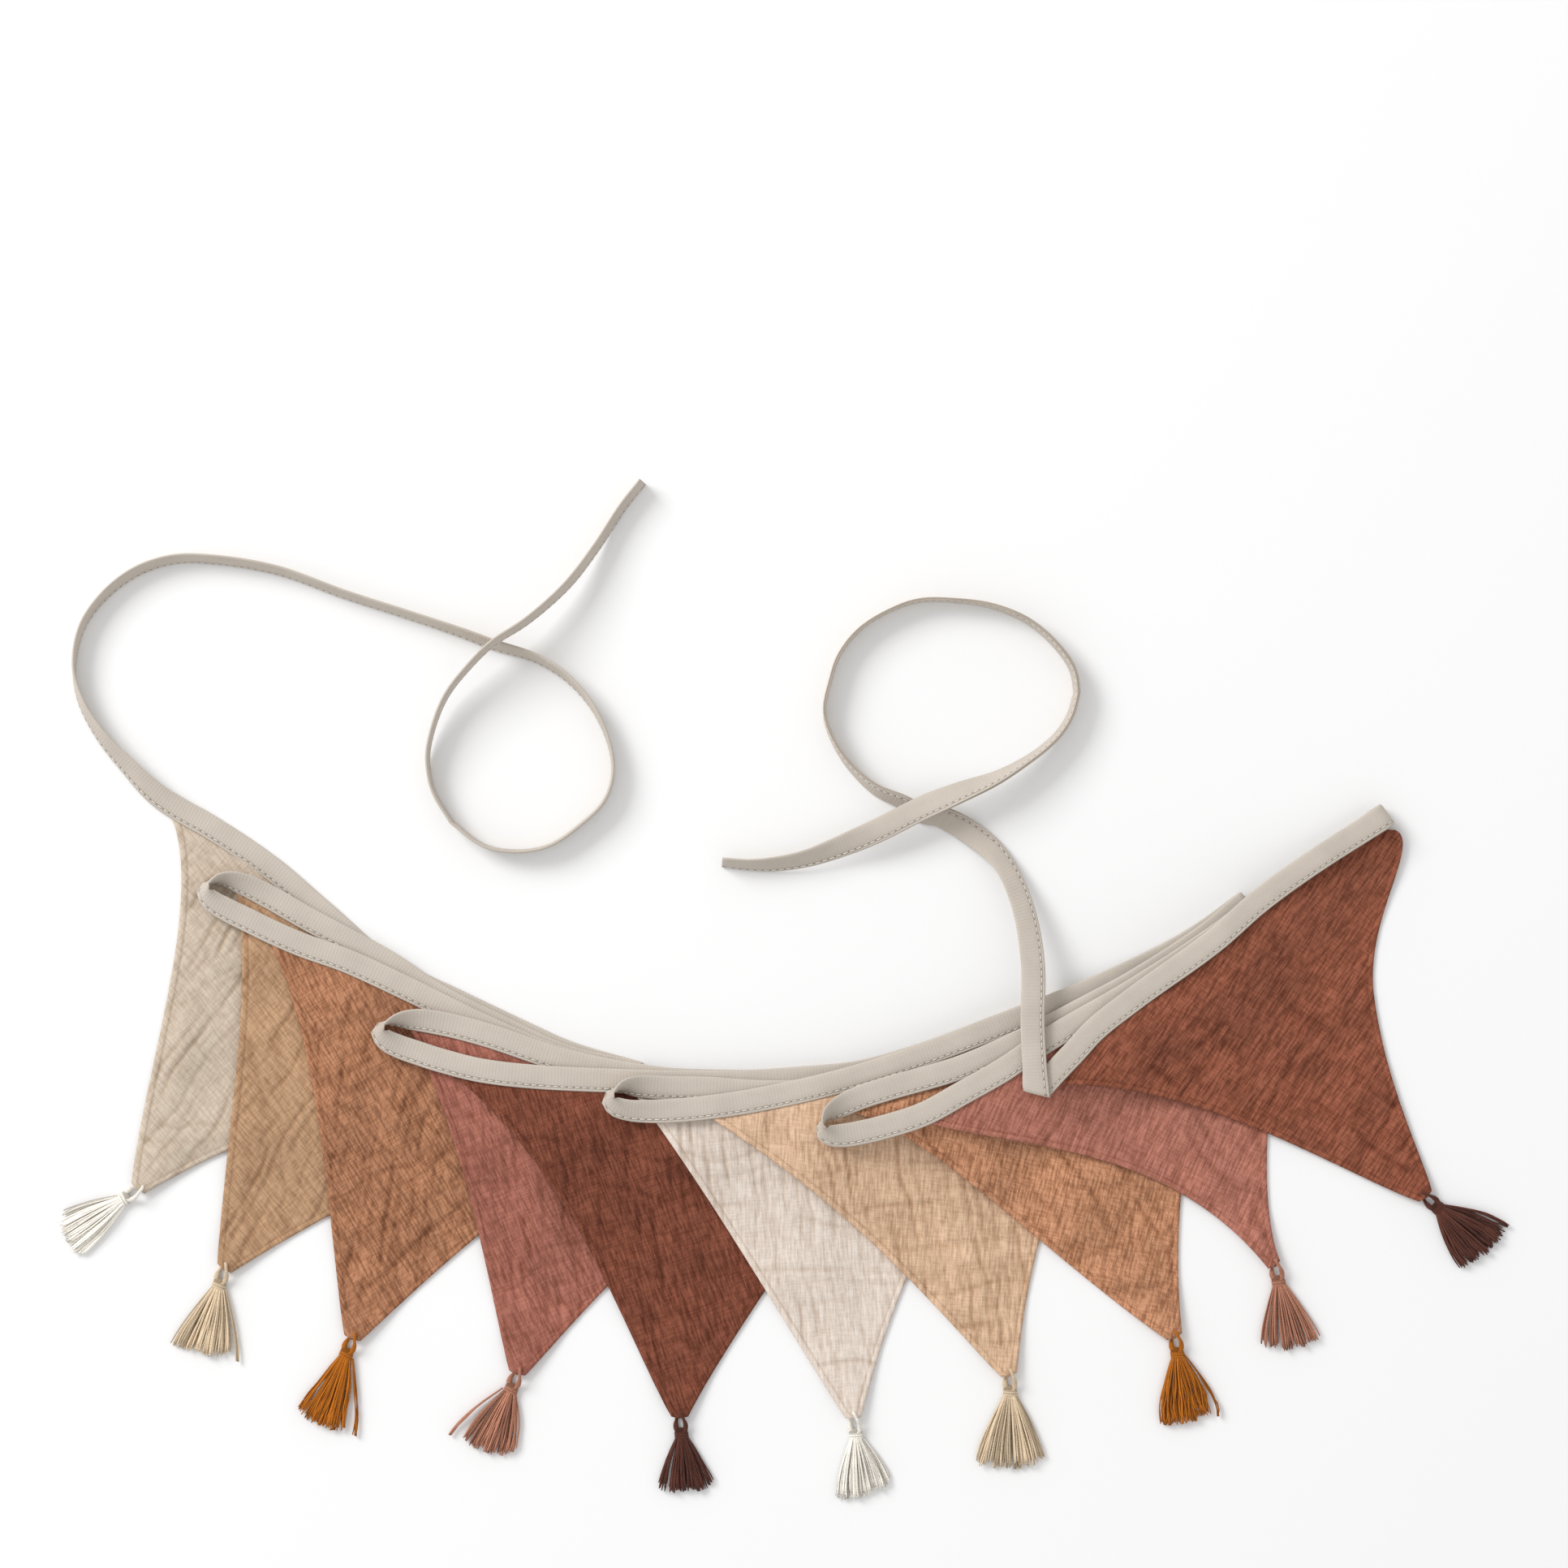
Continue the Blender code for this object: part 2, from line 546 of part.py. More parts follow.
class TasselFrame:
    """Places on one tassel: along its heading from the flag's tip, to its left, and up."""

    def __init__(self, flag, tassel):
        heading = math.radians(tassel.heading)
        self.tip = np.array((flag.tip_x, flag.tip_y)) * MM - CENTRE
        self.along = np.array((math.cos(heading), math.sin(heading)))
        self.left = np.array((-self.along[1], self.along[0]))

    def place(self, along, left, up):
        return np.array((*(self.tip + self.along * along + self.left * left), up))

    def square(self, along, left, up, half, turn=0.0):
        """A small square section across the heading, its width turned with the path."""
        side = np.array((math.sin(turn), math.cos(turn)))
        ring = []
        for across, rise in ((-half, -half), (half, -half), (half, half), (-half, half)):
            ring.append(self.place(along + side[0] * across, left + side[1] * across, up + rise))
        return ring


def loop_path(side, height, root_height):
    """Half of the hanging loop, from the neck to the stitch in the flag: along, left, up."""
    return (
        (LOOP_LENGTH * 0.82, side * LOOP_HALF_WIDTH * 0.78, root_height),
        (LOOP_LENGTH * 0.42, side * LOOP_HALF_WIDTH, height),
        (-0.2 * STITCH_INSET, side * LOOP_HALF_WIDTH * 0.9, height),
        (-0.85 * STITCH_INSET, side * LOOP_HALF_WIDTH * 0.35, height),
    )


def loop_sections(frame, side, height, root_height):
    path = loop_path(side, height, root_height)
    sections = []
    for index, (along, left, up) in enumerate(path):
        before = path[max(index - 1, 0)]
        after = path[min(index + 1, len(path) - 1)]
        turn = math.atan2(-(before[1] - after[1]), before[0] - after[0])
        sections.append(frame.square(along, left, up, THREAD_RADIUS, turn))
    return sections


def order_like(face, ring):
    """The order of the ring's points that turns it least against the face's corners."""
    corners = np.array([vert.co for vert in face.verts])
    corners -= corners.mean(axis=0)
    ring = np.array(ring) - np.mean(ring, axis=0)
    best = None
    for kept, order in ((True, ring), (False, ring[::-1])):
        for shift in range(len(ring)):
            cost = ((np.roll(order, shift, axis=0) - corners) ** 2).sum()
            if best is None or cost < best[0]:
                best = (cost, kept, shift)
    return best[1:]


def matched(rings, order):
    kept, shift = order
    return [np.roll(np.array(ring) if kept else np.array(ring)[::-1], shift, axis=0) for ring in rings]


def neck_ring(frame, along, width, height, middle):
    """Corner places of the neck's grid of cells, rounded like a flattened barrel."""
    places = {}
    for i in range(SKIRT_COLUMNS + 1):
        for j in range(SKIRT_ROWS + 1):
            u = 2 * i / SKIRT_COLUMNS - 1
            v = 2 * j / SKIRT_ROWS - 1
            places[i, j] = frame.place(
                along,
                u * math.sqrt(1 - v * v / 3) * width / 2,
                middle + v * math.sqrt(1 - u * u / 3) * height / 2,
            )
    return places


def build_tassel(number, flag, tassel, tip_top):
    frame = TasselFrame(flag, tassel)
    middle = NECK_HEIGHT / 2
    neck_start = LOOP_LENGTH
    neck_end = LOOP_LENGTH + NECK_LENGTH

    def cells(bm, along, width, height):
        places = neck_ring(frame, along, width, height, middle)
        return {key: bm.verts.new(place) for key, place in places.items()}

    def strand_rings(i, j):
        """Sections of one strand from its root to its end, lying on the floor or on those that do."""
        wave = math.sin(2.3 * i + 4.1 * j + 1.7 * number)
        lean = math.sin(0.8 * i + 4.1 * j + 1.7 * number)
        offset = i - (SKIRT_COLUMNS - 1) / 2 + (STRAND_STAGGER if j else -STRAND_STAGGER)
        share = offset / (SKIRT_COLUMNS / 2)
        reach = tassel.reach * MM * (1 - SKIRT_ROUNDING * share * share + REACH_UNEVENNESS * wave)
        half = STRAND_SIZE / 2
        level = half if j == 0 else STRAND_SIZE + GAP + half
        rings = []
        for t in STRAND_STATIONS:
            along = neck_end + (reach - neck_end) * t
            sway = STRAND_SWAY * lean * math.sin(math.pi * t)
            left = share * (NECK_WIDTH / 2 + (tassel.spread * MM - NECK_WIDTH / 2) * t) + sway
            fall = min(1.0, STRAND_FALL_RATE * t)
            root_level = middle + (0.25 if j else -0.25) * NECK_HEIGHT
            up = root_level * (1 - fall) + level * fall
            size = half * (STRAND_TAPER if t < 1.0 else STRAND_END_TAPER)
            turn = -math.atan2(share * tassel.spread * MM, reach)
            rings.append(frame.square(along, left, max(up, size), size, turn))
        return rings

    def fill(bm):
        grids = [
            cells(bm, neck_start, NECK_WIDTH * NECK_TOP, NECK_HEIGHT * NECK_TOP),
            cells(bm, (neck_start + neck_end) / 2, NECK_WIDTH * NECK_WAIST, NECK_HEIGHT * NECK_TOP),
            cells(bm, neck_end, NECK_WIDTH, NECK_HEIGHT),
        ]
        rim = [(i, 0) for i in range(SKIRT_COLUMNS)]
        rim += [(SKIRT_COLUMNS, j) for j in range(SKIRT_ROWS)]
        rim += [(i, SKIRT_ROWS) for i in range(SKIRT_COLUMNS, 0, -1)]
        rim += [(0, j) for j in range(SKIRT_ROWS, 0, -1)]
        for near, far in zip(grids, grids[1:]):
            for a, b in zip(rim, rim[1:] + rim[:1]):
                bm.faces.new((near[a], near[b], far[b], far[a]))
        ends = []
        for grid in (grids[0], grids[-1]):
            caps = {}
            for i in range(SKIRT_COLUMNS):
                for j in range(SKIRT_ROWS):
                    corner_keys = ((i, j), (i + 1, j), (i + 1, j + 1), (i, j + 1))
                    caps[i, j] = bm.faces.new([grid[key] for key in corner_keys])
            ends.append(caps)
        inner = [vert for key, vert in grids[1].items() if key not in rim]
        bmesh.ops.delete(bm, geom=inner, context="VERTS")
        bmesh.ops.recalc_face_normals(bm, faces=bm.faces)
        over = tip_top + GAP + THREAD_RADIUS
        upper = ends[0][SKIRT_COLUMNS - 2, 1]
        lower = ends[0][1, 0]
        plans = [
            (upper, loop_sections(frame, 1, over, max(middle + THREAD_RADIUS, over * 0.7))),
            (lower, loop_sections(frame, -1, THREAD_RADIUS, THREAD_RADIUS)),
        ]
        for key, face in ends[1].items():
            plans.append((face, strand_rings(*key)))
        bmesh.ops.inset_individual(bm, faces=[face for face, _ in plans], thickness=STRAND_ROOT_INSET)
        for face, rings in plans:
            extrude_through(bm, face, matched(rings, order_like(face, rings[0])))

    return add_object(f"tassel_{number:02d}_{tassel.yarn}", tassel.yarn, fill)


def under_loop_points(flag, tassel):
    """The part of a tassel's loop that lies under the flag's tip, for the pile."""
    frame = TasselFrame(flag, tassel)
    path = np.array(loop_path(-1, 2 * THREAD_RADIUS, 2 * THREAD_RADIUS))
    found = []
    for a, b in zip(path[1:-1], path[2:]):
        for t in np.linspace(0, 1, 5):
            along, left, up = a * (1 - t) + b * t
            found.append(frame.place(along, left, up))
    return np.array(found)


def seam_points(sections, on_flag):
    """Where a flag's top edge runs: just off the stitched edge of its strand."""
    first, last = on_flag
    stitched = (sections[first : last + 1, 0, :2] + sections[first : last + 1, 1, :2]) / 2
    fold = (sections[first : last + 1, 2, :2] + sections[first : last + 1, 3, :2]) / 2
    outward = stitched - fold
    outward /= np.linalg.norm(outward, axis=1)[:, None]
    edge = stitched + outward * FLAG_SEAM_GAP
    return edge if edge[0, 0] < edge[-1, 0] else edge[::-1]


def lay(pile, rows, corners=None):
    centres, widths, thicks, on_flag = strand_sections(rows, corners)
    return centres, widths, thicks, on_flag, rest_strand(pile, centres, widths, thicks)


def main():
    for obj in list(bpy.data.objects):
        bpy.data.objects.remove(obj, do_unlink=True)
    pile = Pile()
    strands = (
        TIE_ONE_START, STRAND_TWO, STRAND_THREE, STRAND_FOUR, STRAND_FIVE,
        STRAND_SIX, STRAND_SEVEN, STRAND_EIGHT, STRAND_NINE, STRAND_TEN,
    )
    laid = []
    held_back = None
    for number, (rows, flag, tassel) in enumerate(zip(strands, FLAGS, TASSELS), start=1):
        pile.add(under_loop_points(flag, tassel))
        centres, widths, thicks, on_flag, placed = lay(pile, rows, (flag.first, flag.last))
        if number == len(strands):
            widths[-1, :2] = np.array(DIAGONAL_CREASE) * MM
        sections = section_corners(placed, widths, thicks)
        plan = flag_rows(flag, seam_points(sections, on_flag))
        points, triangles = rest_flag(pile, number, plan)
        build_flag(number, flag, points, triangles)
        build_tassel(number, flag, tassel, points[-2:, 2].max() + FLAG_THICKNESS)
        if held_back is not None:
            pile.add(patch_points(held_back))
        # The next strand starts beside this one's standing loop, so that is added after it.
        ends_in_loop = abs(rows[-1][2] - 90) < 1
        held_back = sections[-LOOP_SECTIONS:] if ends_in_loop else None
        # The first tie's end comes down to the floor where it goes on as this strand.
        first_laid = JOINT_SECTIONS if rows is TIE_ONE_START else 0
        last_laid = 1 - LOOP_SECTIONS if ends_in_loop else len(sections)
        pile.add(patch_points(sections[first_laid:last_laid]))
        pile.add(triangle_points(points + (0, 0, FLAG_THICKNESS), triangles).reshape(-1, 3))
        laid.append((placed, widths, thicks))
    for rows in (TIE_ONE_END, TIE_TWO_START, TIE_TWO_END):
        centres, widths, thicks, _, placed = lay(pile, rows)
        if rows is TIE_TWO_START:
            widths[0, :2] = np.array(DIAGONAL_CREASE) * MM
        pile.add(patch_points(section_corners(placed, widths, thicks)[:-JOINT_SECTIONS]))
        laid.append((placed, widths, thicks))
    tie_one_end, tie_two_start, tie_two_end = laid[-3:]
    order = [tie_one_end, *laid[:10], tie_two_start, tie_two_end]
    sections = []
    for index, (placed, widths, thicks) in enumerate(order):
        fold_before = index in (2, 4, 6, 8, 10, 11)
        if fold_before:
            before, before_widths, before_thicks = order[index - 1]
            travel = before[-1, :2] - before[-2, :2]
            crease = before_widths[-1, :2]
            outward = travel - crease * np.dot(travel, crease) / np.dot(crease, crease)
            outward /= np.linalg.norm(outward)
            sign = -1.0 if before_thicks[-1, 2] > 0 else 1.0
            width = before_widths[-1]
            for place, w, n in fold_turn(before[-1], placed[0], outward, width, sign):
                sections.append(section_corners(place[None], w[None], n[None])[0])
            widths = widths.copy()
            widths[0] = width
        start = 0 if fold_before or index == 0 else 1
        sections.extend(section_corners(placed, widths, thicks)[start:])
    build_tape(sections)


main()
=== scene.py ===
"""Looks of the fabric bunting, laid out as a Blender add-on and run as a script.

Plain lengths in the tables are in millimetres, seen from above: +X is right and +Y is up. Every other
length is in metres.
"""

import math
from collections import namedtuple

import bmesh
import bpy
import numpy as np
from bpy.props import FloatProperty, FloatVectorProperty, IntProperty, PointerProperty
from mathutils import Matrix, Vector
from mathutils.bvhtree import BVHTree


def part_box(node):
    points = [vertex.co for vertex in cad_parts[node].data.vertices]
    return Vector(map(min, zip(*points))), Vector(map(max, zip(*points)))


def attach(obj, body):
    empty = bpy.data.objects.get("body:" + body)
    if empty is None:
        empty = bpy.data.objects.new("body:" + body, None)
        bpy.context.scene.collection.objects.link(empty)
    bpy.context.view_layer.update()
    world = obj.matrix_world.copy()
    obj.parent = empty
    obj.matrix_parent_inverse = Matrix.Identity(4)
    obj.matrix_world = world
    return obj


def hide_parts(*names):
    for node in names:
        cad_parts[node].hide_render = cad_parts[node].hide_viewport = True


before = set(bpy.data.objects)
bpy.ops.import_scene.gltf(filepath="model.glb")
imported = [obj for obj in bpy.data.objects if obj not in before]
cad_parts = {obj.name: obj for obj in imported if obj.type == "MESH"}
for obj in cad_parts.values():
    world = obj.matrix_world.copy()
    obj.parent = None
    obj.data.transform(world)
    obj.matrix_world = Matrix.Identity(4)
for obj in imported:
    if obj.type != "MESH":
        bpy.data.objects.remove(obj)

bl_info = {
    "name": "Fabric Bunting",
    "version": (1, 0, 0),
    "blender": (4, 5, 0),
    "location": "View3D > Sidebar > Bunting",
    "description": "Dresses the solid bunting with tape, stitches, muslin flags and tassels",
    "category": "Add Mesh",
}

MM = 0.001

# Seeds of the uneven values, so that each run gives the same ones.
STITCH_SEED = 7
HEM_SEED = 40
SWELL_SEED = 70
WANDER_SEED = 100
LINE_SEED = 1000
TASSEL_SEED = 500

# The solids' own sizes, which place everything here.
TAPE_WIDTH = 11.0 * MM
TAPE_THICKNESS = 1.7 * MM
TAPE_STEP = 13.0 * MM
LOOP_STEP = 4.5 * MM
LOOP_REACH = 18.0 * MM
FLAG_THICKNESS = 1.0 * MM
FLAG_SEAM_GAP = 0.35 * MM
FLAG_COLUMNS = 14
TIP_HALF_WIDTH = 3.4 * MM
SAG_FULLNESS = 2.4
BULGE_REACH = 0.45
BULGE_PEAK = 0.15
LOOP_HALF_WIDTH = 2.7 * MM
LOOP_LENGTH = 5.2 * MM
STITCH_INSET = 3.2 * MM
NECK_LENGTH = 3.6 * MM
NECK_WIDTH = 6.6 * MM
NECK_HEIGHT = 3.6 * MM

# How far a flag's top edge is tucked into the tape, past where the solid flag ends.
FLAG_TUCK = 1.1 * MM

# How closely the tape's sections follow one another, and how far from its end the tape leans towards
# the crease of the diagonal fold. A section with this roll stands on edge, at a loop's outer end. The
# pieces of the course that begin with a flat fold are counted from the first tie's end.
TAPE_FINE_STEP = 2.4 * MM
FOLD_TURN_SECTIONS = 7
SKEW_REACH = 12.0 * MM
EDGEWISE = 90
FLAT_FOLDS = (2, 4, 6, 8, 10, 11)

# How near a section's corners lie to the solid's own, seen from above and in height.
CORNER_MATCH = 0.03 * MM
HEIGHT_MATCH = 0.1 * MM

# How finely a flag is divided: its height is read from the solid on a coarse grid, looking down from
# above it, and its own mesh has this many rows of triangles.
LOOK_FROM = 1.0
DOWN = Vector((0, 0, -1))
HEIGHT_GRID = 64
SHEET_ROWS = 176

# Height map of what already lies under a flag.
CELL = 2.0 * MM
HALF_LENGTH = 350.0 * MM
HALF_WIDTH = 260.0 * MM

# Where the middle of the solids lies on the drawing that the tables below were measured on.
CENTRE = (-1.12 * MM, 0.77 * MM)

# Routes of the middle of the tape, from above: x mm, y mm, roll in degrees. At roll 0 it lies flat
# with its fold on the right hand of its travel, at 90 it stands on its stitched edge, at 180 it lies
# flat with its fold on the left hand, at 270 it stands on its fold.
TIE_ONE_END = (
    (-64.1, 232.5, 76), (-72.7, 221.7, 76), (-85.3, 202.4, 76), (-98.3, 185.3, 76),
    (-117.3, 168.2, 78), (-132.5, 158.2, 80), (-142.9, 148.1, 82), (-153.7, 134.4, 84),
    (-160.0, 119.1, 86), (-162.3, 106.5, 87), (-160.0, 91.6, 88), (-151.5, 76.8, 88),
)
TIE_ONE_START = (
    (-151.5, 76.8, 88), (-136.6, 66.0, 88), (-121.7, 63.4, 88), (-106.9, 66.0, 89), (-93.9, 74.5, 89),
    (-81.2, 87.2, 89), (-77.5, 102.0, 88), (-83.5, 123.6, 83), (-96.1, 140.7, 77),
    (-111.0, 151.1, 73), (-132.5, 158.2, 68), (-145.2, 163.0, 70), (-170.8, 171.6, 73),
    (-200.6, 181.2, 73), (-230.7, 192.0, 72), (-258.2, 196.8, 72), (-277.5, 197.2, 72),
    (-294.6, 192.0, 72), (-309.5, 181.2, 76), (-320.3, 166.4, 83), (-324.0, 148.1, 92),
    (-321.2, 133.4, 105), (-312.3, 117.3, 117), (-299.1, 102.2, 136),
    (-286.4, 89.6, 158), (-276.0, 82.6, 172), (-263.0, 75.2, 180), (-234.0, 55.6, 180),
    (-211.0, 35.9, 180), (-180.9, 10.6, 180), (-150.4, -4.6, 180), (-120.6, -18.8, 180),
    (-98.3, -28.8, 180), (-66.7, -38.1, 180),
)
STRAND_TWO = (
    (-66.7, -38.1, 0), (-99.8, -30.3, 0), (-129.2, -16.9, 0), (-157.4, -2.8, 0),
    (-180.5, 12.5, 0), (-218.4, 33.2, 0), (-236.6, 43.6, 8), (-247.6, 48.9, 26),
    (-256.0, 50.9, 58), (-261.8, 49.4, 90),
)
STRAND_THREE = (
    (-261.8, 49.4, 90), (-264.2, 45.8, 128), (-261.2, 41.4, 152), (-254.0, 36.9, 168),
    (-243.6, 31.7, 177), (-236.0, 27.9, 180), (-221.0, 21.2, 180), (-199.2, 13.4, 180),
    (-169.0, -0.6, 180), (-138.5, -15.6, 180), (-100.6, -31.4, 180), (-57.4, -40.3, 180),
    (-31.4, -41.8, 180), (-1.7, -41.8, 180), (31.8, -40.0, 180),
)
STRAND_FOUR = (
    (31.8, -40.0, 0), (-1.7, -42.2, 0), (-31.4, -42.2, 0), (-57.4, -40.3, 0),
    (-98.3, -32.6, 0), (-135.9, -20.2, 0), (-154.8, -15.3, 4), (-166.5, -13.4, 22),
    (-175.6, -13.4, 56), (-181.5, -14.9, 90),
)
STRAND_FIVE = (
    (-181.5, -14.9, 90), (-184.2, -18.2, 128), (-181.6, -22.0, 151), (-175.0, -25.5, 167),
    (-166.0, -28.7, 176), (-157.8, -31.4, 180), (-135.9, -36.8, 180), (-79.0, -41.1, 180),
    (-18.4, -41.8, 180), (10.2, -40.0, 180), (35.5, -37.4, 180), (64.9, -29.2, 180),
    (93.1, -18.8, 180), (126.6, -5.8, 180),
)
STRAND_SIX = (
    (126.6, -5.8, 0), (93.1, -19.5, 0), (50.4, -35.5, 0), (28.1, -42.9, 0), (9.1, -45.9, 0),
    (-8.7, -46.3, 0), (-37.0, -44.6, 0), (-52.0, -44.4, 4), (-64.4, -43.6, 20),
    (-71.8, -43.7, 52), (-76.9, -45.6, 90),
)
STRAND_SEVEN = (
    (-76.9, -45.6, 90), (-79.0, -48.9, 126), (-76.6, -52.2, 144), (-70.6, -54.2, 152),
    (-61.5, -54.8, 163), (-50.5, -54.6, 174), (-38.5, -53.6, 180), (-13.2, -50.0, 180),
    (36.2, -38.5, 180), (93.1, -18.4, 180), (141.8, 0.6, 180), (179.7, 18.4, 180),
    (193.9, 27.0, 180), (210.2, 38.8, 180),
)
STRAND_EIGHT = (
    (210.2, 38.8, 0), (193.9, 25.5, 0), (158.2, 2.8, 0), (139.2, -7.2, 0), (107.2, -23.6, 0),
    (81.2, -34.8, 0), (48.1, -44.4, 0), (34.8, -48.6, 6), (26.4, -52.4, 24),
    (20.6, -56.2, 56), (18.0, -59.8, 90),
)
STRAND_NINE = (
    (18.0, -59.8, 90), (17.9, -63.4, 126), (21.4, -65.4, 150), (27.4, -65.6, 167),
    (34.4, -64.6, 177), (45.5, -62.0, 180), (64.0, -56.0, 180), (82.4, -46.0, 180),
    (100.7, -35.6, 180), (119.1, -23.2, 180), (160.8, 0.9, 180), (199.1, 25.8, 180),
    (221.4, 42.6, 180), (243.7, 57.4, 180), (272.4, 77.9, 180),
)
STRAND_TEN = (
    (272.4, 77.9, 0), (237.4, 55.6, 0), (216.9, 40.7, 0), (196.8, 23.2, 0), (159.7, -3.5, 0),
    (141.4, -18.0, 0), (132.9, -27.3, 0), (124.7, -35.9, 0), (116.2, -45.2, 0),
)
TIE_TWO_START = (
    (115.1, -45.2, 180), (113.6, -16.5, 180), (113.6, 14.7, 170), (108.7, 40.7, 155),
    (99.8, 59.3, 150), (86.8, 71.2, 180), (71.6, 79.4, 210), (64.1, 80.5, 218),
    (53.7, 86.4, 236), (42.9, 91.3, 246), (32.2, 100.6, 257), (25.1, 110.2, 263),
    (19.9, 122.1, 267), (19.1, 129.2, 270), (21.7, 141.1, 272), (25.8, 153.0, 273),
    (34.8, 164.5, 273), (48.9, 173.4, 273), (61.9, 177.9, 274), (79.7, 177.9, 275),
    (96.5, 175.3, 277), (112.8, 168.2, 279), (127.0, 155.2, 280), (132.9, 145.5, 280),
    (134.4, 136.2, 280),
)
TIE_TWO_END = (
    (134.4, 136.2, 280), (131.8, 126.6, 281), (127.0, 118.4, 282), (119.9, 111.3, 284),
    (110.6, 104.6, 288), (97.6, 97.2, 302), (79.7, 90.1, 330),
    (64.1, 83.5, 355), (44.1, 73.4, 362), (27.7, 66.4, 385), (11.0, 60.4, 405),
    (-3.2, 57.8, 415), (-15.1, 57.4, 425), (-27.7, 58.6, 430),
)
# The flat diagonal fold at the foot of the second tie: its crease, from stitched edge to fold.
DIAGONAL_CREASE = (-12.2, 3.0)

# Flag: cloth, x of its first and second corner on the tape, its tip's x and y, how far its left and
# right side curve inwards and where along the side they do so most, and how far its right corner
# bulges past the tape. The lengths are in mm, the places along a side are shares of it.
Flag = namedtuple("Flag", "cloth first last tip_x tip_y left_in right_in left_at right_at bulge")
FLAGS = (
    Flag("cream", -279.0, -110.0, -295.4, -91.6, 10.0, 7.0, 0.28, 0.60, 0.0),
    Flag("tan", -250.0, -75.5, -255.9, -128.1, 5.5, 4.0, 0.30, 0.60, 0.0),
    Flag("terracotta", -232.0, -43.0, -197.2, -160.0, 7.0, 6.0, 0.35, 0.50, 0.0),
    Flag("rose", -171.0, 24.7, -121.7, -176.0, 5.0, 6.0, 0.40, 0.50, 0.0),
    Flag("brown", -149.3, 61.5, -47.0, -196.1, 11.0, 2.5, 0.38, 0.70, 0.0),
    Flag("cream", -67.5, 113.6, 32.5, -196.5, 2.0, 7.0, 0.30, 0.60, 0.0),
    Flag("tan", -33.0, 156.3, 103.9, -176.8, 6.5, 7.0, 0.45, 0.60, 0.0),
    Flag("terracotta", 24.0, 199.1, 179.7, -159.3, 9.0, 7.5, 0.22, 0.60, 0.0),
    Flag("rose", 65.6, 229.9, 225.5, -126.6, 17.0, 8.0, 0.60, 0.70, 0.0),
    Flag("brown", 121.0, 271.0, 294.6, -95.0, 10.0, 14.0, 0.38, 0.46, 11.0),
)

# Tassel: yarn, heading in degrees, reach of its ends from the flag's tip and half its spread in mm, how
# far its sides belly out, how much longer its right side is than its left (seen from above with its
# ends below), how curly its yarns are, how many tufts they gather in and how far a few stray yarns run
# aside: to the right, or to the left when below zero.
Tassel = namedtuple("Tassel", "yarn heading reach spread belly slant curl tufts stray")
TASSELS = (
    Tassel("offwhite", 214.0, 38.5, 12.0, 0.38, 0.05, 0.5, 9, 0.0),
    Tassel("khaki", 254.0, 38.6, 15.0, 0.22, -0.05, 0.8, 8, 1.30),
    Tassel("ochre", 249.0, 40.6, 13.0, 0.16, 0.02, 1.2, 7, 1.45),
    Tassel("dusty", 249.0, 36.9, 13.5, 0.34, -0.03, 1.0, 9, -1.55),
    Tassel("chocolate", 275.0, 32.5, 14.3, 0.16, 0.00, 0.9, 6, 0.0),
    Tassel("offwhite", 278.0, 34.5, 14.0, 0.32, -0.08, 0.5, 9, 0.0),
    Tassel("khaki", 271.0, 40.9, 17.5, 0.22, 0.00, 0.7, 10, 0.0),
    Tassel("ochre", 277.0, 37.9, 13.5, 0.50, -0.04, 1.6, 8, 1.25),
    Tassel("dusty", 281.0, 37.1, 14.6, 0.24, 0.05, 0.6, 9, 0.0),
    Tassel("chocolate", 318.0, 36.6, 15.3, 0.44, 0.03, 1.2, 7, 1.12),
)

# The crinkle depth in mm at which the painted shade in the creases is darkest, the tone of its hems, and
# the painted shade along the groove of their seams.
FULL_CRINKLE = 1.1
HEM_PALER = (1.03, 1.03, 1.03)
PAINTED_SEAM_SHADE = (0.80, 0.76, 0.72)

# The camera looks straight down on the cloth. Its sensor's width is in millimetres.
CAMERA_HEIGHT = 3.0
CAMERA_CENTRE = (1.68 * MM, 93.47 * MM)
SENSOR_WIDTH = 36.0
FRAME_WIDTH = 718.0 * MM

# The broad lamp at the upper left, in metres and watts, and the white floor.
LAMP_PLACE = (-2.5, 2.0, 2.3)
LAMP_SIZE = 1.7
LAMP_POWER = 96.0
FLOOR_COLOUR = (0.92, 0.92, 0.92)
FLOOR_HALF = 3.0
FLOOR_DROP = 0.2 * MM

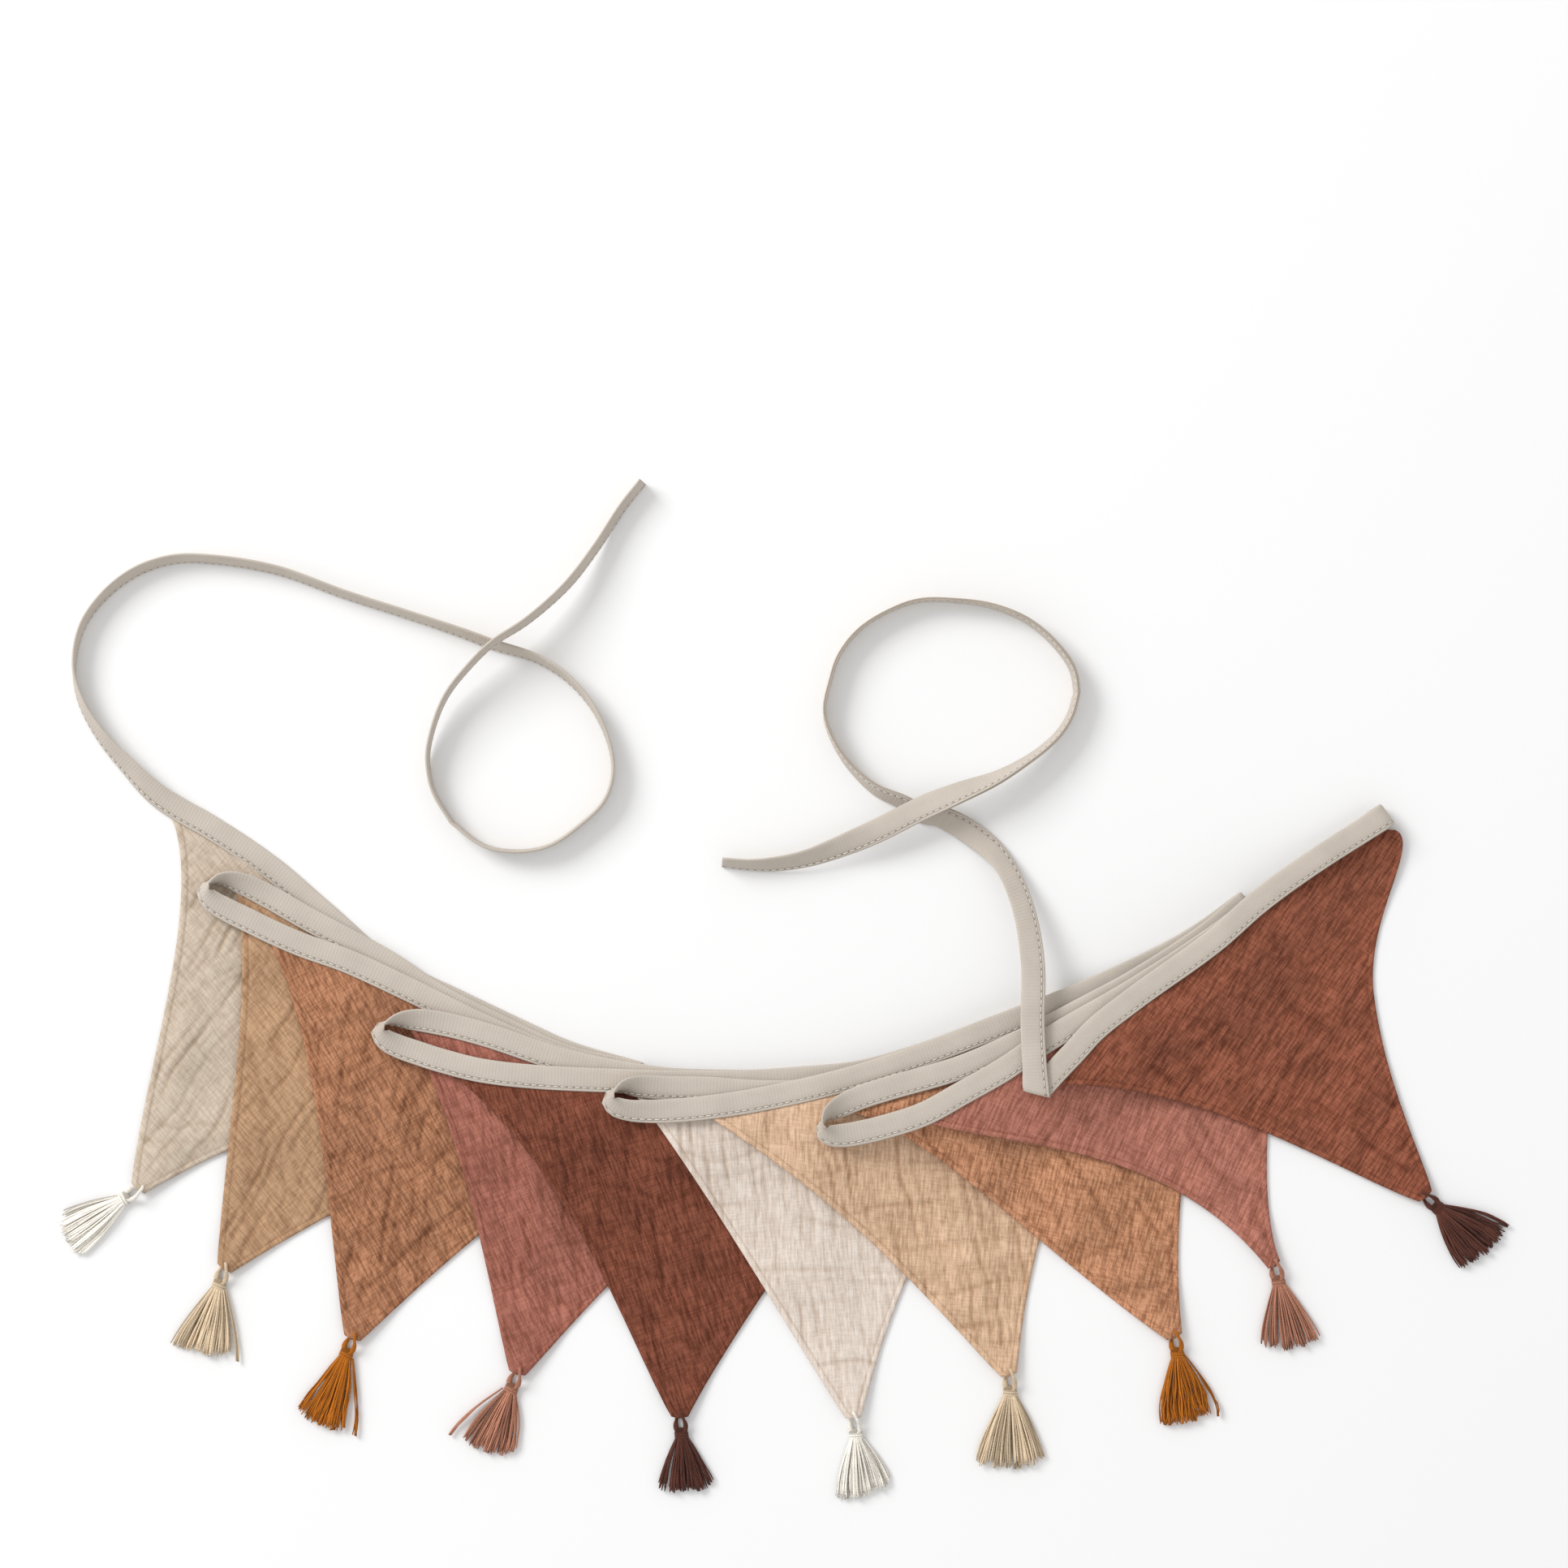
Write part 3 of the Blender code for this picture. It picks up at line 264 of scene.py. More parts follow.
# Crinkles of the muslin: flag number, the way their lines run in degrees, spacing, depth and width in
# mm, how far they wander, and the shares of the flag's height between which they show.
Crinkle = namedtuple("Crinkle", "flag heading spacing depth width wander top bottom")
CRINKLES = (
    Crinkle(1, 54, 4.6, 1.05, 1.05, 0.85, 0.00, 1.00),
    Crinkle(1, 8, 10.0, 0.40, 1.4, 0.80, 0.05, 0.95),
    Crinkle(2, 58, 4.5, 1.00, 1.05, 0.80, 0.00, 1.00),
    Crinkle(2, 100, 11.0, 0.45, 1.4, 0.80, 0.10, 0.95),
    Crinkle(3, 80, 4.2, 0.80, 1.0, 0.80, 0.00, 0.95),
    Crinkle(3, 35, 9.0, 0.65, 1.5, 0.80, 0.15, 1.00),
    Crinkle(4, 97, 4.8, 0.90, 1.1, 0.70, 0.00, 0.95),
    Crinkle(4, 8, 9.0, 0.40, 1.4, 0.70, 0.05, 0.95),
    Crinkle(5, 99, 4.9, 0.95, 1.1, 0.70, 0.00, 0.95),
    Crinkle(5, 6, 9.5, 0.50, 1.4, 0.70, 0.05, 0.95),
    Crinkle(6, 96, 5.4, 0.85, 1.1, 0.60, 0.00, 1.00),
    Crinkle(6, 0, 7.5, 0.45, 1.3, 0.60, 0.05, 0.95),
    Crinkle(7, 100, 5.2, 1.00, 1.2, 0.60, 0.00, 0.97),
    Crinkle(7, 8, 7.2, 0.65, 1.4, 0.60, 0.00, 0.95),
    Crinkle(8, 118, 7.5, 0.60, 1.5, 0.70, 0.05, 0.95),
    Crinkle(8, 20, 10.0, 0.45, 1.6, 0.80, 0.05, 0.95),
    Crinkle(9, 62, 7.5, 0.70, 1.6, 0.70, 0.05, 0.95),
    Crinkle(9, 128, 7.0, 0.75, 1.6, 0.60, 0.45, 1.00),
    Crinkle(10, 60, 7.5, 0.75, 1.5, 0.70, 0.05, 0.95),
    Crinkle(10, 145, 9.0, 0.75, 1.7, 0.70, 0.10, 1.00),
)

# How a crinkle's lines wander, in mm along and across them, broadly and closely. Then how long a line
# stays clear, how far lines shift from even spacing, how faint and strong they get, over which share of
# the flag's height they fade in and out, how far apart the uneven values of the close wander and of
# each line are read, and the share of the full depth that the cloth's middle lies at.
CRINKLE_LINES = 256
BROAD_WANDER = (30, 36)
CLOSE_WANDER = (11, 19)
CLOSE_SHARE = 0.35
CRINKLE_ALIVE = 17
CRINKLE_SHIFT = 0.3
CRINKLE_STRENGTH = (0.2, 1.0)
CRINKLE_FADE = 0.12
FADE_START = 0.25
CLOSE_APART = 7.7
LINES_APART = (3.1, 0.37)
MEAN_CRINKLE = 0.35

# The hem's roll and the groove beside it: where they are, as shares of the hem's width, and how high
# and wide they are. Then the cloth's broad swell, where it and the crinkles begin, how much of a
# crinkle is left in the hem, how far the cloth stays above what it lies on, and its last smoothing.
ROLL_MIDDLE = 0.5
ROLL_HALF = 0.6
ROLL_HEIGHT = 0.5 * MM
ROLL_UNEVEN = 0.3
ROLL_SPOTS = 1.7 * MM
GROOVE_MIDDLE = 1.1
GROOVE_HALF = 0.55 * MM
GROOVE_DEPTH = 0.3 * MM
SWELL_HEIGHT = 0.6 * MM
SWELL_SPOTS = 23.0 * MM
SWELL_FROM_SIDE = 12.0 * MM
SWELL_FROM_TOP = 8.0 * MM
CRINKLE_FROM_TOP = 3.0 * MM
HEM_CRINKLE = 0.2
HEM_BLEND = 1.2 * MM
PILE_GAP = 0.1 * MM
SMOOTHING = 0.3

# The weave's way across each flag in degrees, in the flags' order.
WEAVE_HEADINGS = (41, 38, 30, 24, 20, 3, -4, -14, -24, -34)

# How much lighter or darker each flag is than the colour of its cloth, in red, green and blue: partly
# the cloth's own tone, partly painted light and shade that makes flags of one cloth lighter or darker as
# the light falls on them.
FLAG_TONES_AND_PAINTED_LIGHT = (
    (0.78, 0.75, 0.68), (0.84, 0.79, 0.75), (1.18, 1.20, 1.31), (1.21, 1.20, 1.22), (1.25, 1.14, 1.10),
    (1.01, 1.01, 1.01), (1.21, 1.26, 1.37), (1.52, 1.62, 1.82), (1.46, 1.54, 1.58), (1.67, 1.59, 1.54),
)

# How strongly clouds and threads, and the painted shade in puckers and creases, stand out in each cloth.
CLOTH_CONTRAST = {"cream": 0.65, "tan": 1.1, "terracotta": 2.0, "rose": 1.6, "brown": 2.2}

# Outline of the folded tape cut across, from its stitched edge over its fold and back, in mm.
TAPE_PROFILE = (
    (-5.35, 0.10), (-4.90, 0.02), (-5.35, -0.10), (-5.55, -0.45), (-5.20, -0.72), (-4.65, -0.75),
    (-4.20, -0.74), (-3.80, -0.60), (-3.40, -0.74), (-0.60, -0.80), (2.60, -0.76), (4.60, -0.68),
    (5.30, -0.38), (5.50, 0.00), (5.30, 0.38), (4.60, 0.68), (2.60, 0.76), (-0.60, 0.80),
    (-3.40, 0.74), (-3.80, 0.60), (-4.20, 0.74), (-4.65, 0.75), (-5.20, 0.72), (-5.55, 0.45),
)
STITCH_LINE = -3.8 * MM
STITCH_HEIGHT = 0.66 * MM

# One stitch: places along it as shares of its length, then how high it bows and how wide it is there,
# as shares of half its thread; how flat the thread lies and how far the seam wanders.
STITCH_PLACES = np.array((0.0, 0.12, 0.5, 0.88, 1.0))
STITCH_LIFTS = np.array((-1.0, 0.35, 0.6, 0.35, -1.0))
STITCH_WIDTHS = np.array((0.6, 1.0, 1.1, 1.0, 0.6))
STITCH_FLATNESS = 0.8
STITCH_WANDER = 0.12 * MM
WANDER_LENGTH = 9.0 * MM
STITCHES_AT_ONCE = 60
SQUARE = ((-1, -1), (1, -1), (1, 1), (-1, 1))

# Cloth, tape and yarn from close by. Lines of thread: how far they are turned from the weave's way in
# degrees, how far apart they are, how much longer than wide they look, and the shade of their gaps.
Lines = namedtuple("Lines", "turn period stretch gap")
MUSLIN_THREADS = (
    Lines(0, 0.70 * MM, 9.0, (0.88, 0.86, 0.84)),
    Lines(90, 0.95 * MM, 9.0, (0.76, 0.73, 0.70)),
)
# For the puckers, the gap shade is painted shade in their hollows.
PUCKERS = Lines(0, 1.5 * MM, 3.2, (0.92, 0.89, 0.87))
THREAD_DEPTH_SCALE = 0.3
WEFT_SHARE = 0.62

# Clouds: how far the cloth's colour goes down and up in them, and how many there are on a metre of
# cloth. The others are lengths.
CLOUD_CHANGE = (-0.07, 0.06)
MUSLIN_CLOUDS = 45.0
TAPE_CLOUDS = 60.0
TAPE_GRAIN = 0.5 * MM
TAPE_PUCKER = 1.5 * MM
THREAD_GRAIN = 0.4 * MM
YARN_FUZZ = 0.6 * MM
YARN_TWIST = 1.3 * MM

# Shades that a colour is multiplied by: painted shade in the muslin's creases, painted shade along the
# tape's stitch groove and on the lips of its open edge, and the darker grain and fuzz of tape and yarn.
PAINTED_CREASE_SHADE = (0.62, 0.54, 0.47)
GRAIN_SHADE = (0.92, 0.91, 0.90)
PAINTED_STITCH_GROOVE_SHADE = (0.58, 0.54, 0.50)
PAINTED_LIP_SHADE = (0.80, 0.77, 0.73)
FUZZ_SHADE = (0.78, 0.75, 0.72)

# Ramps, as pairs of a place and how strong an effect is there. Places of the hem and its seam are
# shares of the hem's width, those on the tape are shares of the tape's width.
CLOUD_STOPS = ((0.3, 0.0), (0.7, 1.0))
GRAIN_STOPS = ((0.3, 1.0), (0.7, 0.0))
GAP_STOPS = ((0.36, 1.0), (0.60, 0.0))
PUCKER_STOPS = ((0.38, 1.0), (0.50, 0.0))
HEM_RAMP = 10.0 * MM
HEM_STOPS = ((0.0, 1.0), (0.8, 1.0), (1.0, 0.0))
SEAM_STOPS = ((0.85, 0.0), (1.05, 1.0), (1.15, 0.7), (1.5, 0.0))
STITCH_SHARE = (STITCH_LINE + TAPE_WIDTH / 2) / TAPE_WIDTH
STITCH_STOPS = tuple((STITCH_SHARE + step, shade) for step, shade in (
    (-0.055, 0.0), (-0.035, 1.0), (0.035, 1.0), (0.055, 0.0),
))
LIP_STOPS = ((0.0, 1.0), (0.03, 0.0))

# Surfaces: how rough they are, how much they shine and how much sheen of fibres they have.
MUSLIN_SURFACE = (0.92, 0.18, 0.10)
TAPE_SURFACE = (0.88, 0.20, 0.08)
THREAD_SURFACE = (0.70, 0.50, 0.0)
YARN_SURFACE = (0.85, 0.20, 0.15)
PAPER_SURFACE = (0.95, 0.0, 0.0)

# Relief in the finishes: how strong and how deep.
WEAVE_RELIEF = (0.8, 0.5 * MM)
PUCKER_RELIEF = (0.6, 0.5 * MM)
TAPE_RELIEF = (0.25, 0.12 * MM)
GRAIN_RELIEF = (0.3, 0.2 * MM)
YARN_RELIEF = (0.3, 0.12 * MM)

# Tones of one colour: factors, and for yarns also how warm they are. Then the detail of fine spots.
TAPE_TONES = (0.95, 1.04)
THREAD_TONE = 0.88
DARKEST_YARN = (0.52, 0.90)
LIGHTEST_YARN = (1.42, 1.0)
FINE_DETAIL = 3.0

# Where nodes stand in a material's tree.
SHADER_PLACE = (1500, 400)
NODES_PER_ROW = 6
NODE_SPACING = 240

# The loop that joins a tassel to its flag: its width as a share of the solid's, how much thicker its
# yarn is beside the tip than where it passes it, how far it reaches into the neck, and how far above
# and below the neck's middle it does so.
LOOP_WIDE = 0.84
RING_SWELL = 1.65
LOOP_IN_NECK = 1.8 * MM
ROOT_ABOVE = 0.5 * MM
ROOT_BELOW = 0.3 * MM
LOOP_PLACES = 60
LOOP_SIDES = 10

# The tassel's waist: sizes of its rounded core as shares of the neck, and the yarn bound round it.
CORE_SIZES = (0.55, 0.90, 0.92, 0.78, 0.76, 0.88, 0.90)
CORE_BEFORE = 1.0 * MM
CORE_AFTER = 0.6 * MM
CORE_SIDES = 20
BOUND_SIZE = 0.80
BOUND_STEPS = 24
BOUND_SIDES = 6
BOUND_TURNS = 4
BOUND_START = LOOP_LENGTH + 1.3 * MM
BOUND_PITCH = 0.62 * MM
BOUND_RADIUS = 0.40 * MM
BOUND_SLANT = 0.35 * MM
BOUND_SUNK = 0.6

# The strands of a skirt, spread evenly over the neck by one angle from each to the next.
GOLDEN_ANGLE = math.pi * (3 - math.sqrt(5))
STRAND_PLACES = 11
STRAND_SIDES = 5
STRAND_TWIST = 0.5
STRAND_SIZE = 0.9
STRAND_END_SIZE = 0.7

# How strands gather in tufts: how far they draw together and each tuft aside, how many different tufts
# are drawn, and where the upper layer's begin.
GATHERING = 0.22
TUFT_PULL = 0.05
TUFT_DRAWS = 256
UPPER_TUFTS = 16

# How strands fan out: their share of the full width and how uneven that is, how much shorter the outer
# ones are, how uneven their ends are and how long they get, and which ones stray and how far.
FAN_WIDTH = 0.95
FAN_UNEVEN = 0.03
OUTER_SHORTER = 0.09
UNEVEN_ENDS = 0.035
LONGEST = 1.04
STRAY_EVERY = 30
STRAY_FIRST = 7
STRAY_WIDTH = 0.92
STRAY_UNEVEN = 0.04

# How strands run from the neck to their ends: how far they begin inside it and how wide, how deep the
# skirt is at its ends and how high it bellies out, and how fast they open out, belly and come down.
NECK_OVERLAP = 0.8 * MM
NECK_SHARE = 0.40
SKIRT_DEPTH = 2.9 * MM
BELLY_HEIGHT = 1.1 * MM
OPEN_RATE = 0.62
BELLY_RATE = 1.3
DROP_RATE = 1.5

# How strands sway: how much of it a tuft shares and how much is a strand's own, how fast they wave, how
# much of it goes up and down, and how differently that waves.
TUFT_SWAY = 0.35
OWN_SWAY = 0.60
WAVE_RATE = 4.0
CURL_RATE = 3.0
RISE_SHARE = 0.25
RISE_PHASE = 2.1
RISE_RATE = 1.6

# How the tint of a strand depends on its tuft, on itself and on how high it lies in the skirt; the last
# is painted light and shade, higher strands lighter and lower ones darker.
TUFT_TINT = 0.22
OWN_TINT = 0.35
PAINTED_HEIGHT_LIGHT = 0.18


class Pile:
    """The top of what has been laid down so far, on a grid of cells."""

    def __init__(self):
        columns = int(2 * HALF_LENGTH / CELL) + 1
        rows = int(2 * HALF_WIDTH / CELL) + 1
        self.top = np.zeros((columns, rows))

    def cells(self, points):
        i = np.clip(np.rint((points[..., 0] + HALF_LENGTH) / CELL), 0, self.top.shape[0] - 1)
        j = np.clip(np.rint((points[..., 1] + HALF_WIDTH) / CELL), 0, self.top.shape[1] - 1)
        return i.astype(int), j.astype(int)

    def add(self, points):
        np.maximum.at(self.top, self.cells(points), points[..., 2])

    def under(self, points):
        """The highest thing within one cell of each point."""
        grown = self.top
        for axis in (0, 1):
            grown = np.max([np.roll(grown, shift, axis) for shift in (-1, 0, 1)], axis=0)
        return grown[self.cells(points)]


class SoftNoise:
    """Smooth uneven values between -1 and 1, the same each run."""

    SIZE = 64

    def __init__(self, seed):
        self.values = np.random.default_rng(seed).uniform(-1, 1, (self.SIZE, self.SIZE))

    def __call__(self, x, y):
        i, j = np.floor(x).astype(int), np.floor(y).astype(int)
        s, t = x - i, y - j
        s, t = s * s * (3 - 2 * s), t * t * (3 - 2 * t)
        near, far = i % self.SIZE, (i + 1) % self.SIZE
        low, high = j % self.SIZE, (j + 1) % self.SIZE
        bottom = self.values[near, low] * (1 - s) + self.values[far, low] * s
        top = self.values[near, high] * (1 - s) + self.values[far, high] * s
        return bottom * (1 - t) + top * t


def softened(values, half, axis=0):
    """A running mean over 2 x half + 1 neighbours along one axis, its ends kept."""
    pad = [(0, 0)] * values.ndim
    pad[axis] = (half, half)
    padded = np.pad(values, pad, mode="edge")
    count = values.shape[axis]
    windows = [np.take(padded, range(shift, shift + count), axis=axis) for shift in range(2 * half + 1)]
    return np.mean(windows, axis=0)


def eased(t):
    t = np.clip(t, 0.0, 1.0)
    return t * t * (3 - 2 * t)


# Tape

Strand = namedtuple("Strand", "dense run stops on_flag")


def curve_between(t, start, start_slope, end, end_slope):
    """A place on the smooth curve from start to end, at t from 0 to 1."""
    return (
        (2 * t**3 - 3 * t**2 + 1) * start + (t**3 - 2 * t**2 + t) * start_slope
        + (3 * t**2 - 2 * t**3) * end + (t**3 - t**2) * end_slope
    )


def smooth_route(rows):
    """A dense smooth curve through the route's points: x, y, roll in metres and radians."""
    points = np.array(rows, dtype=float) * (MM, MM, math.radians(1.0))
    points[:, :2] -= CENTRE
    chord = np.linalg.norm(np.diff(points[:, :2], axis=0), axis=1)
    slope = np.diff(points, axis=0) / chord[:, None]
    tangent = np.vstack((slope[:1], slope[1:] * 0.5 + slope[:-1] * 0.5, slope[-1:]))
    dense = []
    for index, length in enumerate(chord):
        start, end = points[index : index + 2]
        start_slope, end_slope = length * tangent[index : index + 2]
        for t in np.arange(0.0, 1.0, MM / length):
            dense.append(curve_between(t, start, start_slope, end, end_slope))
    dense.append(points[-1])
    return np.array(dense)


def spread(start, end, step):
    """Distances from start to end, about a step apart, without the end."""
    count = max(1, round((end - start) / step))
    return [start + (end - start) * index / count for index in range(count)]


def last_crossing(values, level):
    """The last place along a route where it reaches a level."""
    above = values > level
    return int(np.flatnonzero(above[1:] != above[:-1])[-1])


def measure_strand(rows, corners=None):
    """One strand's smooth route and the distances along it at which the solid tape has its sections."""
    dense = smooth_route(rows)
    run = distances(dense[:, :2])
    total = run[-1]
    loop_first = rows[0][2] == EDGEWISE
    loop_last = rows[-1][2] == EDGEWISE
    stops = [0.0]
    if loop_first:
        stops = spread(0.0, LOOP_REACH, LOOP_STEP) + [LOOP_REACH]
    last_stop = total - LOOP_REACH if loop_last else total
    on_flag = (0, 0)
    if corners:
        found = sorted(run[last_crossing(dense[:, 0], x * MM - CENTRE[0])] for x in corners)
        lead = spread(stops[-1], found[0], TAPE_STEP)[1:] if found[0] - stops[-1] > MM else []
        if found[0] - stops[-1] < LOOP_STEP:
            stops.pop()
        stops += lead
        on_flag = (len(stops), len(stops) + FLAG_COLUMNS)
        stops += [found[0] + (found[1] - found[0]) * i / FLAG_COLUMNS for i in range(FLAG_COLUMNS + 1)]
    tail = max(last_stop, stops[-1])
    stops += [s for s in spread(stops[-1], tail, TAPE_STEP)[1:] if tail - stops[-1] > LOOP_STEP]
    if loop_last:
        stops += [s for s in spread(tail, total, LOOP_STEP) if s - stops[-1] > 0.5 * LOOP_STEP]
    stops.append(total)
    return Strand(dense, run, np.array(stops), on_flag)


def directions(strand, stops):
    """Middles on the floor, and the ways across the tape and through it, at distances along a strand."""
    x, y, roll = (np.interp(stops, strand.run, strand.dense[:, column]) for column in range(3))
    travel = []
    for column in range(2):
        ahead = np.interp(stops + MM, strand.run, strand.dense[:, column])
        behind = np.interp(stops - MM, strand.run, strand.dense[:, column])
        travel.append(ahead - behind)
    travel = np.array(travel).T
    travel /= np.linalg.norm(travel, axis=1)[:, None]
    right = np.column_stack((travel[:, 1], -travel[:, 0], np.zeros(len(travel))))
    up = np.array((0.0, 0.0, 1.0))
    cosine, sine = np.cos(roll)[:, None], np.sin(roll)[:, None]
    middles = np.column_stack((x, y, np.zeros(len(stops))))
    return middles, cosine * right + sine * up, cosine * up - sine * right


def distances(points):
    """How far along a line of points each one lies."""
    return np.concatenate(([0.0], np.cumsum(np.linalg.norm(np.diff(points, axis=0), axis=1))))


def node_points(node):
    """Corners of a solid, each once."""
    points = np.array([vert.co for vert in node.data.vertices])
    return np.unique(points.round(6), axis=0)


def heights_on_solid(points, middles, across, through):
    """How high the solid tape's middle lies at each of its own sections."""
    heights = np.full(len(middles), np.nan)
    for index, (middle, w, n) in enumerate(zip(middles, across, through)):
        corner = middle - w * TAPE_WIDTH / 2 - n * TAPE_THICKNESS / 2
        opposite = middle + w * TAPE_WIDTH / 2 + n * TAPE_THICKNESS / 2
        near = points[np.hypot(*(points[:, :2] - corner[:2]).T) < CORNER_MATCH]
        far = points[np.hypot(*(points[:, :2] - opposite[:2]).T) < CORNER_MATCH]
        least = HEIGHT_MATCH
        for height in near[:, 2] - corner[2]:
            for error in np.abs(far[:, 2] - opposite[2] - height):
                if error < least:
                    least, heights[index] = error, height
    known = np.flatnonzero(np.isfinite(heights))
    if len(known) < 2:
        raise RuntimeError("the solid tape doesn't follow this route")
    return np.interp(np.arange(len(heights)), known, heights[known])


def fine_sections(points, strand, crease_first=False, crease_last=False):
    """Closely spaced middles and ways across and through one strand, on the solid tape's heights."""
    heights = heights_on_solid(points, *directions(strand, strand.stops))
    total = strand.run[-1]
    stops = np.linspace(0.0, total, max(2, round(total / TAPE_FINE_STEP)) + 1)
    middles, across, through = directions(strand, stops)
    rise = np.interp(stops, strand.stops, heights)
    for _ in range(2):
        rise = softened(rise, 2)
    reach = np.abs(across[:, 2]) * TAPE_WIDTH / 2 + np.abs(through[:, 2]) * TAPE_THICKNESS / 2
    middles[:, 2] = np.maximum(rise, reach)
    skew = np.array((*DIAGONAL_CREASE, 0.0)) * MM / TAPE_WIDTH
    for wanted, away in ((crease_first, stops), (crease_last, total - stops)):
        if wanted:
            share = eased(1 - away / SKEW_REACH)[:, None]
            across = across * (1 - share) + skew * share
    return middles, across, through


def fold_sections(low, high):
    """The turn of a flat fold, between the last section below and the first one above."""
    (below, *_), (above, *_) = low, high
    middles, across, through = low
    travel = middles[-1, :2] - middles[-2, :2]
    crease = across[-1, :2]
    outward = travel - crease * np.dot(travel, crease) / np.dot(crease, crease)
    outward /= np.linalg.norm(outward)
    sign = -1.0 if through[-1, 2] > 0 else 1.0
    radius = (above[0, 2] - below[-1, 2]) / 2
    centre = (below[-1] + above[0]) / 2
    angles = np.linspace(-math.pi / 2, math.pi / 2, FOLD_TURN_SECTIONS + 2)[1:-1]
    turned = np.column_stack((np.cos(angles)[:, None] * outward, np.sin(angles)))
    return centre + turned * radius, np.tile(across[-1], (len(angles), 1)), turned * sign


Course = namedtuple("Course", "middles across through strands")


def tape_course():
    """The whole tape from the first tie's end to the second's, and each strand's own sections."""
    points = node_points(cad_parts["binding_tape"])
    routes = (
        TIE_ONE_START, STRAND_TWO, STRAND_THREE, STRAND_FOUR, STRAND_FIVE,
        STRAND_SIX, STRAND_SEVEN, STRAND_EIGHT, STRAND_NINE, STRAND_TEN,
    )
    strands = [measure_strand(rows, (flag.first, flag.last)) for rows, flag in zip(routes, FLAGS)]
    ties = [measure_strand(rows) for rows in (TIE_ONE_END, TIE_TWO_START, TIE_TWO_END)]
    order = [ties[0], *strands, ties[1], ties[2]]
    runs = []
    for index, strand in enumerate(order):
        crease_last = index == len(strands)
        crease_first = index == len(strands) + 1
        runs.append(fine_sections(points, strand, crease_first, crease_last))
    joined = [runs[0]]
    for index in range(1, len(runs)):
        if index in FLAT_FOLDS:
            joined.append(fold_sections(runs[index - 1], runs[index]))
            joined.append(runs[index])
        else:
            joined.append(tuple(part[1:] for part in runs[index]))
    whole = [np.concatenate([run[part] for run in joined]) for part in range(3)]
    return Course(*whole, strands), runs[1 : len(strands) + 1]


def extrude_through(bm, face, sections):
    """Extrudes a face through the given sections, one after the other, and returns its last face."""
    for section in sections:
        face = bmesh.ops.extrude_discrete_faces(bm, faces=[face])["faces"][0]
        for vert, place in zip(face.verts, section):
            vert.co = place
    return face


def close_holes(bm):
    open_edges = [edge for edge in bm.edges if edge.is_boundary]
    bmesh.ops.holes_fill(bm, edges=open_edges)


def finish_piece(bm, name, material, replaced=None):
    """Makes the built shape a piece of the bunting, with its material and what it stands for."""
    if not bm.faces:
        raise RuntimeError(f"{name} has no faces")
    for face in bm.faces:
        face.smooth = True
    mesh = bpy.data.meshes.new(name)
    bm.to_mesh(mesh)
    bm.free()
    obj = bpy.data.objects.new(name, mesh)
    bpy.context.scene.collection.objects.link(obj)
    obj.data.materials.append(material)
    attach(obj, "root")
    if replaced:
        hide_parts(replaced)
    return obj


def build_tape(course):
    """The folded tape: its outline extruded along the whole course."""
    profile = np.array(TAPE_PROFILE) * MM
    settings = bpy.context.scene.bunting
    width = settings.tape_width / TAPE_WIDTH
    sections = (
        course.middles[:, None]
        + course.across[:, None] * profile[None, :, :1] * width
        + course.through[:, None] * profile[None, :, 1:]
    )
    bm = bmesh.new()
    along = bm.verts.layers.float.new("along")
    edge = bm.verts.layers.float.new("edge")
    run = distances(course.middles)
    face = bm.faces.new([bm.verts.new(place) for place in sections[0]])
    for index, section in enumerate(sections):
        if index:
            face = extrude_through(bm, face, [section])
        for vert, (a, _) in zip(face.verts, profile):
            vert[along] = run[index]
            vert[edge] = a + TAPE_WIDTH / 2
    close_holes(bm)
    bmesh.ops.recalc_face_normals(bm, faces=bm.faces)
    obj = finish_piece(bm, "folded_tape", tape_material(), "binding_tape")
    return obj, run[-1]


def build_tape_stitches(course):
    """Two rows of running stitches beside the tape's open edge, one on each face."""
    settings = bpy.context.scene.bunting
    run = distances(course.middles)
    half = settings.stitch_thickness / 2
    pitch = settings.stitch_pitch
    starts = np.arange(pitch, run[-1] - pitch, pitch)
    uneven = SoftNoise(STITCH_SEED)
    bm = bmesh.new()
    for first in range(0, len(starts), STITCHES_AT_ONCE):
        part = bmesh.new()
        for start in starts[first : first + STITCHES_AT_ONCE]:
            line = STITCH_LINE + STITCH_WANDER * float(uneven(start / WANDER_LENGTH, 0.5))
            stops = start + STITCH_PLACES * settings.stitch_length
            middles, across, through = (
                np.column_stack([np.interp(stops, run, whole[:, axis]) for axis in range(3)])
                for whole in (course.middles, course.across, course.through)
            )
            for side in (-1, 1):
                heights = side * (STITCH_HEIGHT + STITCH_LIFTS * half)
                places = middles + across * line + through * heights[:, None]
                wide = across * STITCH_WIDTHS[:, None] * half
                high = through * STITCH_WIDTHS[:, None] * half * STITCH_FLATNESS
                rings = np.stack([places + a * wide + b * high for a, b in SQUARE], axis=1)
                face = part.faces.new([part.verts.new(corner) for corner in rings[0]])
                extrude_through(part, face, rings[1:])
        close_holes(part)
        bmesh.ops.recalc_face_normals(part, faces=part.faces)
        mesh = bpy.data.meshes.new("stitch_part")
        part.to_mesh(mesh)
        part.free()
        bm.from_mesh(mesh)
        bpy.data.meshes.remove(mesh)
    return finish_piece(bm, "tape_stitches", thread_material())


# Flags


